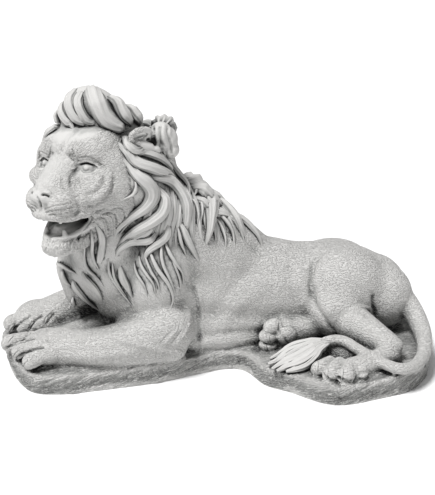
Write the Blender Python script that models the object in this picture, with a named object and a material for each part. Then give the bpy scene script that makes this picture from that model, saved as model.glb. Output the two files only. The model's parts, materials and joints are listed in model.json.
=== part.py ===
"""Recumbent lion on a thin rock base, cast in one piece.

The figure is drawn on a carving plan in millimetres: the lion looks along -X, +Z is up, the ground is z = 0
and the side that is meant to be seen is -Y. Clay masses are laid up as closed shapes, fused and smoothed,
and locks of hair are then laid on the fused mass.
"""

import math

import bmesh
import bpy
import numpy as np
from mathutils import Euler, Matrix, Vector
from mathutils.bvhtree import BVHTree

# Driving dimensions, in metres
LION_LENGTH = 0.73
BASE_THICKNESS = 0.034

# The plan is drawn for a lion 730 mm long on a base 34 mm thick
PLAN_LENGTH_MM = 730
PLAN_BASE_MM = 34
MM = LION_LENGTH / PLAN_LENGTH_MM

# Mesh fineness
MASS_VOXEL = 4.5 * MM
FORM_VOXEL = 3.0 * MM
LOCK_VOXEL = 2.0 * MM
TRIANGLES = 9600

# The middle of the plan's length and depth, which the finished piece is centred on
PLAN_MIDDLE = (7.55, -77.45)

# The head's own frame: the point between the eyes, and how it is turned
HEAD_AT = (-241, -60, 378)
HEAD_YAW = 42
HEAD_ROLL = 5

# The show side is drawn on an upright sheet seen from one standpoint: azimuth, elevation, distance, centre
SHOW_AZIMUTH = -12
SHOW_ELEVATION = 22
SHOW_DISTANCE = 1900
SHOW_CENTRE = (0, -85, 225)
SHEET_UNIT = 1.65
SHEET_CENTRE = (217.5, 247.5)


def at(x, y, z):
    """A point of the plan, in metres. The base keeps its own thickness, and the figure stands on it."""
    share = BASE_THICKNESS / PLAN_BASE_MM
    height = z * share if z < PLAN_BASE_MM else BASE_THICKNESS + (z - PLAN_BASE_MM) * MM
    return Vector(((x - PLAN_MIDDLE[0]) * MM, (y - PLAN_MIDDLE[1]) * MM, height))


def sheet_ray(across, down):
    """Start and direction, in the plan, of the line of sight through a point of the show sheet."""
    azimuth = math.radians(SHOW_AZIMUTH)
    elevation = math.radians(SHOW_ELEVATION)
    back = Vector((math.sin(azimuth) * math.cos(elevation), -math.cos(azimuth) * math.cos(elevation),
                   math.sin(elevation)))
    right = Vector((math.cos(azimuth), math.sin(azimuth), 0))
    up = back.cross(right)
    aim = (right * (across - SHEET_CENTRE[0]) + up * (SHEET_CENTRE[1] - down)) * SHEET_UNIT
    return Vector(SHOW_CENTRE) + back * SHOW_DISTANCE, (aim - back * SHOW_DISTANCE).normalized()


def spot(across, down, y):
    """The plan point seen at a point of the show sheet, in the upright plane at depth y."""
    start, sight = sheet_ray(across, down)
    return tuple(start + sight * ((y - start.y) / sight.y))


def head_axes():
    """Unit vectors of the head: forward along the muzzle, to the lion's left, and up."""
    yaw = math.radians(HEAD_YAW)
    roll = math.radians(HEAD_ROLL)
    forward = Vector((-math.cos(yaw), -math.sin(yaw), 0))
    left = Vector((math.sin(yaw), -math.cos(yaw), 0))
    turn = Matrix.Rotation(roll, 3, forward)
    return forward, turn @ left, turn @ Vector((0, 0, 1))


def head(f, s, u):
    """Plan coordinates of a point given forward, left and up of the point between the eyes."""
    forward, left, up = head_axes()
    return tuple(Vector(HEAD_AT) + forward * f + left * s + up * u)


def turned(x=0, y=0, z=0):
    return Euler([math.radians(v) for v in (x, y, z)]).to_matrix()


def ball(clay, centre, radii, turn=None, detail=4):
    """An ellipsoid, in plan millimetres. turn is a 3x3 rotation."""
    place = Matrix.Translation(at(*centre))
    if turn is not None:
        place = place @ turn.to_4x4()
    place = place @ Matrix.Diagonal((*[r * MM for r in radii], 1))
    bmesh.ops.create_icosphere(clay, subdivisions=detail, radius=1, matrix=place)


def head_ball(clay, f, s, u, radii, pitch=0, yaw=0, roll=0):
    """An ellipsoid in the head's frame. Its radii run forward, sideways and up before it is turned."""
    frame = Matrix(head_axes()).transposed()
    ball(clay, head(f, s, u), radii, frame @ turned(roll, pitch, yaw), 3)


def head_pair(clay, f, s, u, radii, pitch=0, yaw=0, roll=0):
    """An ellipsoid and its mirror image on the far side of the head."""
    head_ball(clay, f, s, u, radii, pitch, yaw, roll)
    head_ball(clay, f, -s, u, radii, pitch, -yaw, -roll)


def smooth_path(points, steps):
    """A Catmull-Rom curve through rows of numbers, steps samples a span, the last point included."""
    rows = np.array(points, float)
    rows = np.vstack([2 * rows[0] - rows[1], rows, 2 * rows[-1] - rows[-2]])
    out = []
    for i in range(1, len(rows) - 2):
        p0, p1, p2, p3 = rows[i - 1 : i + 3]
        for t in np.arange(steps) / steps:
            out.append(
                0.5 * (2 * p1 + (p2 - p0) * t + (2 * p0 - 5 * p1 + 4 * p2 - p3) * t**2
                       + (3 * p1 - p0 - 3 * p2 + p3) * t**3)
            )
    out.append(rows[-2])
    return np.array(out)


def loft(clay, centres, sides, ups, widths, heights, around=14):
    """Elliptical rings along centres, closed at both ends. All in metres."""
    angles = 2 * math.pi * np.arange(around) / around
    rings = []
    for c, s, u, w, h in zip(centres, sides, ups, widths, heights):
        rings.append([clay.verts.new(c + s * (w * math.cos(a)) + u * (h * math.sin(a))) for a in angles])
    for a, b in zip(rings, rings[1:]):
        for k in range(around):
            n = (k + 1) % around
            clay.faces.new((a[k], a[n], b[n], b[k]))
    clay.faces.new(list(reversed(rings[0])))
    clay.faces.new(rings[-1])


def limb(clay, stations, steps=6):
    """A limb through stations (x, y, z, half width, half height) of the plan, with domed ends."""
    rows = smooth_path(stations, steps)
    centres = [at(*row[:3]) for row in rows]
    count = len(rows)
    tangents = [(centres[min(i + 1, count - 1)] - centres[max(i - 1, 0)]).normalized() for i in range(count)]
    sides = [t.cross(Vector((0, 0, 1))).normalized() for t in tangents]
    ups = [s.cross(t).normalized() for s, t in zip(sides, tangents)]
    widths = [row[3] * MM for row in rows]
    heights = [row[4] * MM for row in rows]
    for end in (0, -1):
        out = tangents[end] * (-1 if end == 0 else 1)
        reach = (widths[end] + heights[end]) / 2
        side, up, width, height, centre = sides[end], ups[end], widths[end], heights[end], centres[end]
        for angle in (0.37, 0.74, 1.1, 1.45):
            share = math.cos(angle)
            row = (centre + out * (reach * math.sin(angle)), side, up, width * share, height * share)
            for store, value in zip((centres, sides, ups, widths, heights), row):
                store.insert(0 if end == 0 else len(store), value)
    loft(clay, centres, sides, ups, widths, heights)


def head_limb(clay, stations, sides=(1, -1)):
    """A limb through stations (f, s, u, half width, half height) of the head, and its mirror image."""
    for side in sides:
        limb(clay, [(*head(f, side * s, u), w, h) for f, s, u, w, h in stations])


def applied(obj):
    """The object with its modifiers applied."""
    graph = bpy.context.evaluated_depsgraph_get()
    mesh = bpy.data.meshes.new_from_object(obj.evaluated_get(graph))
    obj.modifiers.clear()
    old = obj.data
    obj.data = mesh
    bpy.data.meshes.remove(old)


def add(obj, clay):
    """Joins closed shapes to an object's mesh."""
    bmesh.ops.recalc_face_normals(clay, faces=clay.faces)
    shapes = bpy.data.meshes.new("shapes")
    clay.to_mesh(shapes)
    clay.free()
    whole = bmesh.new()
    whole.from_mesh(obj.data)
    whole.from_mesh(shapes)
    whole.to_mesh(obj.data)
    whole.free()
    bpy.data.meshes.remove(shapes)


def fuse(obj, voxel, rounds, factor=0.5):
    """One closed skin over all that the object holds, its joins smoothed."""
    remesh = obj.modifiers.new("Remesh", "REMESH")
    remesh.mode = "VOXEL"
    remesh.voxel_size = voxel
    smooth = obj.modifiers.new("Smooth", "SMOOTH")
    smooth.factor = factor
    smooth.iterations = rounds
    applied(obj)


def torso(clay):
    limb(clay, [(-120, 5, 136, 84, 90), (-50, 5, 138, 90, 98), (40, 0, 118, 88, 86), (120, 0, 106, 82, 84),
                (190, 0, 102, 78, 82), (260, -2, 96, 74, 78), (300, -5, 90, 62, 66)])
    ball(clay, (-40, 0, 170), (86, 78, 88), turned(y=20))
    # the belly lies on the base
    limb(clay, [(-70, -6, 84, 84, 62), (50, -8, 78, 80, 54), (150, -6, 74, 74, 50)])
    # chest and neck under the mane
    ball(clay, (-162, 2, 195), (86, 84, 92))
    ball(clay, (-178, -22, 240), (66, 66, 84))
    limb(clay, [(-150, -10, 335, 84, 76), (-100, -4, 276, 90, 78), (-34, 0, 206, 84, 72), (16, 0, 164, 80, 72)])
    ball(clay, (-132, -12, 340), (64, 86, 80))


def legs(clay):
    # near foreleg, then far foreleg
    ball(clay, (-94, -60, 178), (56, 42, 96), turned(y=10))
    limb(clay, [(-82, -84, 86, 42, 48), (-150, -86, 82, 42, 45), (-215, -76, 77, 41, 41), (-268, -60, 68, 38, 34)])
    ball(clay, (-95, 66, 160), (56, 40, 90))
    limb(clay, [(-90, 74, 80, 40, 42), (-160, 66, 76, 38, 40), (-225, 56, 70, 36, 36), (-272, 46, 64, 35, 30)])
    # haunches
    ball(clay, (240, -48, 118), (78, 56, 66), turned(y=30))
    ball(clay, (212, -78, 88), (50, 40, 50), turned(y=40))
    ball(clay, (308, -42, 92), (54, 58, 58))
    ball(clay, (235, 40, 110), (84, 54, 62))
    ball(clay, (298, 36, 86), (54, 54, 52))


def feet(clay):
    ball(clay, (-286, -56, 62), (42, 46, 28))
    ball(clay, (-292, 46, 60), (44, 46, 28))
    # near hind leg: shank from the knee back to the hock, and the foot forward again
    limb(clay, [(226, -94, 78, 30, 30), (252, -136, 66, 23, 26), (272, -178, 56, 19, 22)])
    limb(clay, [(276, -186, 54, 19, 20), (232, -208, 52, 21, 20), (190, -226, 50, 27, 21)])
    ball(clay, (172, -232, 48), (34, 40, 18))
    # far hind leg: its foot comes out under the belly
    limb(clay, [(215, -50, 66, 28, 28), (164, -74, 60, 24, 24), (124, -84, 56, 24, 25)])
    ball(clay, (114, -88, 56), (28, 19, 30))


def toes(clay):
    toe_row(clay, (-343, -54), 0, 4, 24)
    toe_row(clay, (-350, 46), 0, 4, 24)
    toe_row(clay, (128, -234), 12, 4, 20)
    # far hind foot
    ball(clay, (94, -94, 76), (17, 14, 13), turned(y=-20))
    ball(clay, (86, -98, 60), (17, 14, 13))
    ball(clay, (86, -98, 43), (17, 13, 12), turned(y=15))
    ball(clay, (116, -106, 62), (18, 9, 16))


def toe_row(clay, tip, across, count, spread):
    """A row of toes across a paw whose foremost point is tip. across turns the row in plan, in degrees."""
    turn = math.radians(across)
    for k in range(count):
        step = k - (count - 1) / 2
        back = 26 + 8 * abs(step) ** 1.6
        x = tip[0] + back * math.cos(turn) - step * spread * math.sin(turn)
        y = tip[1] + step * spread * math.cos(turn) + back * math.sin(turn)
        ball(clay, (x, y, 54), (26, 12.5, 17), turned(y=-14, z=across), 3)
        ball(clay, (x - 16, y, 46), (13, 11, 12), None, 3)


def tail(clay):
    limb(clay, [(312, 0, 110, 24, 24), (346, -56, 88, 22, 22), (350, -124, 64, 20, 20), (330, -186, 54, 18, 18),
                (296, -226, 54, 16, 16), (264, -236, 60, 14, 14), (240, -206, 68, 12, 13), (216, -156, 72, 11, 12),
                (196, -126, 68, 11, 12), (176, -116, 60, 12, 13)])


def tuft(clay):
    """The tail's end: flame-shaped strands over the base, in front of the near hind foot."""
    for y, x, w in ((-144, 72, 8), (-160, 66, 9), (-178, 70, 9), (-192, 92, 8), (-188, 124, 7)):
        limb(clay, [(182, -114, 60, 10, 12), (158, -124 + 0.1 * (y + 140), 54, w + 3, 12),
                    (0.5 * (x + 140), 0.5 * (y - 138), 46, w + 2, 12), (x, y, 38, 2.5, 4)])


def skull(clay):
    head_ball(clay, -88, 0, 0, (84, 84, 72))
    head_ball(clay, -30, 0, -34, (52, 58, 58))
    head_ball(clay, -36, 0, 22, (46, 54, 36))
    head_pair(clay, -42, 34, 20, (44, 38, 36))
    head_pair(clay, -24, 44, -42, (44, 34, 40), yaw=14)
    head_pair(clay, -62, 58, -48, (52, 34, 62))
    head_pair(clay, -60, 60, -6, (42, 26, 36))


def muzzle(clay):
    # bridge of the nose, from the brow down
    head_limb(clay, [(-26, 0, 8, 30, 26), (6, 0, -2, 27, 24), (42, 0, -24, 24, 18)], (1,))
    head_pair(clay, -14, 24, 8, (20, 18, 14))
    head_pair(clay, 28, 21, -50, (38, 28, 26), yaw=8)
    head_pair(clay, 18, 14, -30, (38, 20, 24), pitch=12)
    head_pair(clay, 2, 34, -52, (34, 24, 28), yaw=12)
    head_pair(clay, -24, 46, -82, (28, 18, 30))
    # lower jaw, chin and throat
    head_limb(clay, [(24, 14, -122, 16, 15), (-14, 32, -112, 18, 19), (-56, 50, -92, 26, 32)])
    head_pair(clay, 8, 14, -122, (34, 20, 19))
    head_ball(clay, 28, 0, -123, (28, 26, 18))
    head_ball(clay, -34, 0, -122, (60, 42, 22), pitch=-8)
    head_ball(clay, -90, 0, -90, (58, 72, 70))


def face(clay):
    """Smaller forms of the face, laid on the fused head."""
    for side in (1, -1):
        # eye, upper and lower lid
        head_ball(clay, -12, side * 41, -3, (17, 18, 15))
        head_limb(clay, [(2, 25, -9, 3, 3), (9, 34, 6, 4, 3.5), (5, 47, 9, 4, 3.5), (-12, 61, -1, 3, 3)], (side,))
        head_limb(clay, [(2, 27, -11, 2.5, 2.5), (3, 40, -17, 3, 3), (-10, 57, -7, 2.5, 2.5)], (side,))
        # inner end of the brow
        head_ball(clay, -4, side * 24, 12, (16, 12, 10))
        # upper lip
        head_limb(clay, [(60, 7, -66, 10, 10), (40, 31, -72, 11, 9), (10, 45, -71, 11, 9), (-12, 50, -75, 9, 8)],
                  (side,))
        # lower lip and canine
        head_limb(clay, [(48, 6, -107, 7, 6), (32, 22, -106, 7, 6), (8, 35, -98, 7, 6), (-8, 43, -86, 7, 7)],
                  (side,))
        head_limb(clay, [(35, 22, -102, 5, 5), (36, 21, -89, 3, 3)], (side,))
        # nostril wing
        head_ball(clay, 54, side * 15, -40, (13, 9, 10), yaw=side * 14)
    head_ball(clay, 55, 0, -34, (17, 21, 11), pitch=12)
    head_ball(clay, 60, 0, -50, (9, 9, 12))
    # tongue
    head_ball(clay, 0, 0, -104, (44, 20, 9), pitch=-4)
    # near ear, with the tuft of hair behind it
    ear(clay)


def ear(clay):
    for across, down, y, radii in ((140, 139, -64, (18, 12, 16)), (160, 131, -36, (19, 26, 19)),
                                   (166, 134, -24, (20, 28, 24)), (168, 148, -30, (17, 26, 19)),
                                   (152, 140, -48, (14, 20, 16))):
        ball(clay, spot(across, down, y), radii)


def crest(clay):
    """The swept-up roll of hair over the forehead."""
    head_limb(clay, [(-44, -16, 64, 24, 28), (-58, 4, 74, 30, 34), (-84, 22, 62, 32, 32), (-112, 42, 38, 30, 26)],
              (1,))


def base(clay):
    """The rock base: a wandering outline with a rolled lip, drawn at mid height from the far front corner."""
    edge = [(-357, 70), (-352, 10), (-342, -50), (-318, -108), (-270, -128), (-205, -128), (-105, -120),
            (-50, -104), (10, -92), (45, -104), (66, -160), (100, -192), (160, -250), (242, -244), (305, -225),
            (352, -170), (366, -90), (362, 10), (330, 90), (240, 112), (100, 108), (-60, 112), (-200, 114),
            (-310, 112)]
    rows = smooth_path(edge + edge[:1], 4)[:-1]
    centre = rows.mean(0)
    rings = []
    for z, inset in ((-12, 2), (6, 0), (20, 0), (PLAN_BASE_MM - 4, 4), (PLAN_BASE_MM, 12)):
        ring = []
        for row in rows:
            out = (row - centre) / np.linalg.norm(row - centre)
            ring.append(clay.verts.new(at(*(row - out * inset), z)))
        rings.append(ring)
    count = len(rows)
    for a, b in zip(rings, rings[1:]):
        for k in range(count):
            n = (k + 1) % count
            clay.faces.new((a[k], a[n], b[n], b[k]))
    clay.faces.new(list(reversed(rings[0])))
    clay.faces.new(rings[-1])


def skin_of(obj):
    """A search tree of the object's surface."""
    clay = bmesh.new()
    clay.from_mesh(obj.data)
    tree = BVHTree.FromBMesh(clay)
    clay.free()
    return tree


def draped(skin, rays):
    """Points and normals where rays, given in the plan, first meet the skin."""
    points, normals = [], []
    for start, sight in rays:
        start = at(*start)
        point, normal, _, _ = skin.ray_cast(start, sight)
        if point is not None and (not points or (point - points[-1]).length < 40 * MM):
            points.append(point)
            normals.append(normal)
    return points, normals


def lock(clay, skin, rays, width, thick, rise=0.3):
    """A tapering lock of hair along the line where rays meet the skin. Sizes in plan millimetres."""
    points, normals = draped(skin, rays)
    if len(points) < 5:
        return
    points = smooth_run(points, 6)
    normals = [Vector(n).normalized() for n in smooth_run(normals, 12)]
    count = len(points)
    centres, sides, ups, widths, heights = [], [], [], [], []
    for i, (point, up) in enumerate(zip(points, normals)):
        t = i / (count - 1)
        tangent = (points[min(i + 1, count - 1)] - points[max(i - 1, 0)]).normalized()
        side = tangent.cross(up).normalized()
        share = min(1, 0.45 + 2.2 * t) * min(1, 0.1 + 1.5 * (1 - t)) ** 0.75
        lift = min(1, 5 * t) * min(1, 2.2 * (1 - t)) * (rise + 0.5) - 0.5
        sway = 0.25 * width * math.sin(2 * math.pi * t + width) * t * (1 - t) * 4
        centres.append(point + up * (thick * MM * lift) + side * (sway * MM))
        sides.append(side)
        ups.append(side.cross(tangent))
        widths.append(width * MM * share)
        heights.append(thick * MM * max(0.45, share))
    loft(clay, centres, sides, ups, widths, heights, 12)


def smooth_run(rows, rounds):
    """Rows of vectors evened along their run, the ends kept."""
    data = np.array([tuple(row) for row in rows])
    for _ in range(rounds):
        data[1:-1] = 0.5 * data[1:-1] + 0.25 * (data[:-2] + data[2:])
    return [Vector(row) for row in data]


def fan(clay, skin, first, last, count, thick, aim=sheet_ray, unit=SHEET_UNIT, shift=0):
    """Locks laid side by side between two guide lines, each guide drawn with the same number of points."""
    first = smooth_path(first, 8)
    last = smooth_path(last, 8)
    gap = unit * np.linalg.norm(last - first, axis=1).mean() / max(1, count - 1)
    for k in range(count):
        t = k / max(1, count - 1)
        line = first * (1 - t) + last * t
        keep = len(line) - int((0.5 + 0.5 * math.sin(2.9 * k + shift)) * 0.2 * len(line))
        bold = 1 + 0.28 * math.sin(2.1 * k + shift)
        lock(clay, skin, [aim(*row) for row in line[:keep]], 0.64 * gap * bold, thick * bold)


def side_ray(x, z):
    """Line of sight from the hidden side, square on, at a point of the plan's elevation."""
    return Vector((x, 400, z)), Vector((0, -1, 0))


def top_ray(x, y):
    """Line of sight from above."""
    return Vector((x, y, 700)), Vector((0, 0, -1))


def near_locks(clay, skin):
    # neck and shoulder, under the rest
    fan(clay, skin, [(170, 178), (168, 196), (172, 222), (184, 250), (200, 266)],
        [(194, 180), (204, 198), (203, 214), (206, 232), (207, 250)], 5, 11, shift=3)
    fan(clay, skin, [(206, 192), (209, 206), (213, 226), (216, 252)],
        [(220, 204), (231, 212), (242, 224), (248, 246)], 4, 9, shift=4)
    fan(clay, skin, [(224, 204), (238, 214), (248, 228), (254, 248)],
        [(234, 211), (250, 220), (260, 232), (266, 250)], 3, 8, shift=1)
    fan(clay, skin, [(142, 256), (152, 274), (157, 300)], [(166, 220), (178, 250), (184, 286)], 6, 9, shift=1)
    fan(clay, skin, [(82, 250), (90, 275), (94, 300)], [(134, 250), (140, 280), (148, 306)], 6, 9, shift=5)
    fan(clay, skin, [(60, 250), (62, 270), (72, 300)], [(106, 225), (106, 262), (118, 306)], 5, 9, shift=2)
    # cheek locks
    fan(clay, skin, [(128, 158), (143, 176), (152, 190), (148, 207), (124, 225), (106, 246)],
        [(156, 180), (164, 196), (166, 208), (156, 222), (130, 236), (117, 260)], 4, 12, shift=2)
    fan(clay, skin, [(160, 226), (144, 238), (128, 247), (118, 262)],
        [(168, 220), (165, 236), (154, 249), (143, 264)], 3, 11, shift=0)
    lock(clay, skin, [sheet_ray(*row) for row in smooth_path([(135, 178), (134, 190), (121, 200)], 8)], 6, 8)
    # temple band, swept back over the neck
    fan(clay, skin, [(119, 132), (132, 144), (148, 153), (166, 166), (180, 184)],
        [(119, 143), (131, 160), (152, 178), (174, 190), (186, 228)], 4, 11, shift=1)


def crest_locks(clay, skin):
    # drawn from the rolled top down to the pointed ends at the hairline
    fan(clay, skin, [(62, 97), (60, 106), (66, 119), (80, 131)], [(98, 86), (101, 99), (110, 114), (126, 128)],
        6, 14, shift=2)
    fan(clay, skin, [(112, 91), (113, 106), (126, 126)], [(134, 104), (143, 114), (149, 129)], 3, 9, shift=1)
    fan(clay, skin, [(157, 118), (152, 134), (152, 152)], [(172, 118), (178, 136), (178, 158)], 3, 9)


def far_locks(clay, skin):
    fan(clay, skin, [(-196, 430), (-214, 350), (-206, 290), (-214, 230)],
        [(-80, 430), (-60, 350), (-26, 290), (16, 236)], 8, 13, side_ray, 1, 1)
    fan(clay, skin, [(-205, 310), (-222, 230), (-206, 170), (-196, 130)],
        [(-40, 330), (-16, 270), (16, 220), (24, 180)], 10, 11, side_ray, 1, 4)
    fan(clay, skin, [(-150, -66), (-110, -60), (-70, -56), (-40, -58)],
        [(-170, 60), (-120, 66), (-70, 62), (-30, 56)], 7, 11, top_ray, 1, 2)
    fan(clay, skin, [(-86, -40), (-40, -36), (10, -30), (56, -26)],
        [(-90, 60), (-40, 66), (0, 60), (40, 58)], 6, 9, top_ray, 1, 5)


def drop_islands(obj):
    """Leaves only the largest connected surface, so that no sealed bubble stays inside."""
    clay = bmesh.new()
    clay.from_mesh(obj.data)
    waiting = set(clay.verts)
    islands = []
    while waiting:
        island = {waiting.pop()}
        edge = list(island)
        while edge:
            edge = {e.other_vert(v) for v in edge for e in v.link_edges} & waiting
            waiting -= edge
            island |= edge
        islands.append(island)
    islands.sort(key=len)
    for island in islands[:-1]:
        bmesh.ops.delete(clay, geom=list(island), context="VERTS")
    clay.to_mesh(obj.data)
    clay.free()


def flat_cut(obj):
    """Cuts the underside flat at ground level."""
    clay = bmesh.new()
    clay.from_mesh(obj.data)
    everything = clay.verts[:] + clay.edges[:] + clay.faces[:]
    cut = bmesh.ops.bisect_plane(clay, geom=everything, dist=1e-7, plane_co=(0, 0, 0), plane_no=(0, 0, 1),
                                 clear_inner=True)
    edges = [item for item in cut["geom_cut"] if isinstance(item, bmesh.types.BMEdge)]
    bmesh.ops.triangle_fill(clay, edges=edges, use_beauty=True)
    for vert in clay.verts:
        if vert.co.z < 1e-5:
            vert.co.z = 0
    bmesh.ops.triangulate(clay, faces=clay.faces[:])
    bmesh.ops.recalc_face_normals(clay, faces=clay.faces)
    clay.to_mesh(obj.data)
    clay.free()


def thinned(obj, triangles):
    """Fewer triangles, most of them kept where the form bends."""
    now = len(obj.data.polygons)
    thin = obj.modifiers.new("Decimate", "DECIMATE")
    thin.ratio = min(1, triangles / (2 * now))
    thin.use_collapse_triangulate = True
    applied(obj)


def cast_stone():
    """Fair light grey cast concrete."""
    material = bpy.data.materials.new("cast_stone")
    material.use_nodes = True
    shader = material.node_tree.nodes["Principled BSDF"]
    shader.inputs["Base Color"].default_value = (0.56, 0.56, 0.56, 1)
    shader.inputs["Roughness"].default_value = 0.85
    shader.inputs["Metallic"].default_value = 0
    return material


def main():
    for obj in list(bpy.data.objects):
        bpy.data.objects.remove(obj)
    lion = bpy.data.objects.new("lion", bpy.data.meshes.new("lion"))
    bpy.context.scene.collection.objects.link(lion)

    clay = bmesh.new()
    torso(clay)
    legs(clay)
    skull(clay)
    add(lion, clay)
    fuse(lion, MASS_VOXEL, 14)

    clay = bmesh.new()
    muzzle(clay)
    crest(clay)
    feet(clay)
    tail(clay)
    base(clay)
    add(lion, clay)
    fuse(lion, FORM_VOXEL, 10)

    clay = bmesh.new()
    face(clay)
    toes(clay)
    tuft(clay)
    skin = skin_of(lion)
    near_locks(clay, skin)
    crest_locks(clay, skin)
    far_locks(clay, skin)
    add(lion, clay)
    fuse(lion, LOCK_VOXEL, 3)

    drop_islands(lion)
    thinned(lion, TRIANGLES)
    flat_cut(lion)
    lion.data.materials.clear()
    lion.data.materials.append(cast_stone())


main()
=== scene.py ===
"""A recumbent lion in cast stone, finely carved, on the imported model's frame, with floor, light and camera.

Clay masses are laid up as closed shapes, fused and smoothed as the solid's are, at a finer grain, and carved.
The locks of the mane are swept by a node tree along lines that lie on the carved surface.
"""

import math
import json
from contextlib import contextmanager

import bmesh
import bpy
import numpy as np
from mathutils import Euler, Matrix, Vector, noise
from mathutils.bvhtree import BVHTree

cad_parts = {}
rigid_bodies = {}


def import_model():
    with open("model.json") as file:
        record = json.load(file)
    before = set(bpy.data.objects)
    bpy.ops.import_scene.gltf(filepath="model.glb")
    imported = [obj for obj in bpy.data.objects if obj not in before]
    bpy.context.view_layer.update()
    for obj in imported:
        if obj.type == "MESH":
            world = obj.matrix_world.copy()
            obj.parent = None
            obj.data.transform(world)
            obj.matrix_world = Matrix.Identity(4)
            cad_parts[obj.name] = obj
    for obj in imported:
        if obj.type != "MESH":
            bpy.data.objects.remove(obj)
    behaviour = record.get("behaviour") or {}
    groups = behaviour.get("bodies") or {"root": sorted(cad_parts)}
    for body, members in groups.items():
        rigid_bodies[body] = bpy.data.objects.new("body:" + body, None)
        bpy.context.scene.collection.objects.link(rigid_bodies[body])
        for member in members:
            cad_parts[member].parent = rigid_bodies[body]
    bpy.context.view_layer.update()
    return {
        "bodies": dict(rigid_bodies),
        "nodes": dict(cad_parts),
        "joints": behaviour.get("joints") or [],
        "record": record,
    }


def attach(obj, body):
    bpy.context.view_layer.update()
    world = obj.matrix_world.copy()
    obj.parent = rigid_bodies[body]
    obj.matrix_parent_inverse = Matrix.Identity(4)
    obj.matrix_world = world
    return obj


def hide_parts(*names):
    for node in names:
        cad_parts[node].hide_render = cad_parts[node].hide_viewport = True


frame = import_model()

bl_info = {
    "name": "Cast stone lion",
    "version": (1, 0, 0),
    "blender": (4, 5, 0),
    "location": "3D View > Sidebar > Lion",
    "description": "Builds a recumbent cast stone lion piece by piece",
    "category": "Add Mesh",
}

# Driving dimensions, in metres
LION_LENGTH = 0.73
BASE_THICKNESS = 0.034

# The plan is drawn for a lion 730 mm long on a base 34 mm thick
PLAN_LENGTH_MM = 730
PLAN_BASE_MM = 34
MM = LION_LENGTH / PLAN_LENGTH_MM

# Mesh fineness
MASS_VOXEL = 4.5 * MM
FORM_VOXEL = 3.0 * MM
BODY_VOXEL = 1.8 * MM
FACE_VOXEL = 1.8 * MM
HEAD_VOXEL = 1.2 * MM
PIECE_TRIANGLES = 190000

# The middle of the plan's length and depth, which the finished piece is centred on
PLAN_MIDDLE = (7.55, -77.45)

# The head's own frame: the point between the eyes, and how it is turned
HEAD_AT = (-241, -60, 378)
HEAD_YAW = 42
HEAD_ROLL = 5

# The show side is drawn on an upright sheet seen from one standpoint: azimuth, elevation, distance, centre
SHOW_AZIMUTH = -12
SHOW_ELEVATION = 22
SHOW_DISTANCE = 1900
SHOW_CENTRE = (0, -85, 225)
SHEET_UNIT = 1.65
SHEET_CENTRE = (217.5, 247.5)
SHEET_TALL = 495

# Angles of the rings that dome the end of a limb, in radians
DOME_ANGLES = (0.37, 0.74, 1.1, 1.45)

# A line on the skin leaves out points that would jump further than this, in plan millimetres
SKIN_JUMP = 40

# Where sight lines start, well outside the figure: over the hidden side, the back and the head, in plan mm
SIDE_START = 400
TOP_START = 700
CROWN_START = 200

# Rays in the sky over each vertex, the turn from one to the next, and how near stone has to be to hide the
# sky from it, for the painted shade of occlusion
SKY_RAYS = 14
SKY_TURN = 2.39996
OCCLUSION_REACH = 80 * MM

# Relief fainter than this is left out, in mm. A stroke's noise is raised by the gain and cut off at the peak.
FAINT = 0.02
STROKE_GAIN = 3
STROKE_PEAK = 1.2

# What counts as lying in the cutting plane, and as standing on the ground, in metres
CUT_FUZZ = 1e-7
GROUND_FUZZ = 1e-5


def at(x, y, z):
    """A point of the plan, in metres. The base keeps its own thickness, and the figure stands on it."""
    share = BASE_THICKNESS / PLAN_BASE_MM
    height = z * share if z < PLAN_BASE_MM else BASE_THICKNESS + (z - PLAN_BASE_MM) * MM
    return Vector(((x - PLAN_MIDDLE[0]) * MM, (y - PLAN_MIDDLE[1]) * MM, height))


def show_back():
    """Unit vector from the middle of the show side back to the standpoint."""
    azimuth = math.radians(SHOW_AZIMUTH)
    elevation = math.radians(SHOW_ELEVATION)
    return Vector((math.sin(azimuth) * math.cos(elevation), -math.cos(azimuth) * math.cos(elevation),
                   math.sin(elevation)))


def sheet_ray(across, down):
    """Start and direction, in the plan, of the line of sight through a point of the show sheet."""
    azimuth = math.radians(SHOW_AZIMUTH)
    back = show_back()
    right = Vector((math.cos(azimuth), math.sin(azimuth), 0))
    up = back.cross(right)
    aim = (right * (across - SHEET_CENTRE[0]) + up * (SHEET_CENTRE[1] - down)) * SHEET_UNIT
    return Vector(SHOW_CENTRE) + back * SHOW_DISTANCE, (aim - back * SHOW_DISTANCE).normalized()


def spot(across, down, y):
    """The plan point seen at a point of the show sheet, in the upright plane at depth y."""
    start, sight = sheet_ray(across, down)
    return tuple(start + sight * ((y - start.y) / sight.y))


def laid(across, down, height):
    """The point of a line of sight at a height over the ground."""
    start, sight = sheet_ray(across, down)
    start = np.array(start, float)
    sight = np.array(tuple(sight), float)
    return start + sight * (height - start[2]) / sight[2]


def head_axes():
    """Unit vectors of the head: forward along the muzzle, to the lion's left, and up."""
    yaw = math.radians(HEAD_YAW)
    roll = math.radians(HEAD_ROLL)
    forward = Vector((-math.cos(yaw), -math.sin(yaw), 0))
    left = Vector((math.sin(yaw), -math.cos(yaw), 0))
    turn = Matrix.Rotation(roll, 3, forward)
    return forward, turn @ left, turn @ Vector((0, 0, 1))


def head(f, s, u):
    """Plan coordinates of a point given forward, left and up of the point between the eyes."""
    forward, left, up = head_axes()
    return tuple(Vector(HEAD_AT) + forward * f + left * s + up * u)


def turned(x=0, y=0, z=0):
    """A rotation by degrees about the three axes."""
    return Euler([math.radians(v) for v in (x, y, z)]).to_matrix()


def ball(clay, centre, radii, turn=None, detail=4):
    """An ellipsoid, in plan millimetres. turn is a 3x3 rotation."""
    place = Matrix.Translation(at(*centre))
    if turn is not None:
        place = place @ turn.to_4x4()
    place = place @ Matrix.Diagonal((*[r * MM for r in radii], 1))
    bmesh.ops.create_icosphere(clay, subdivisions=detail, radius=1, matrix=place)


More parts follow.
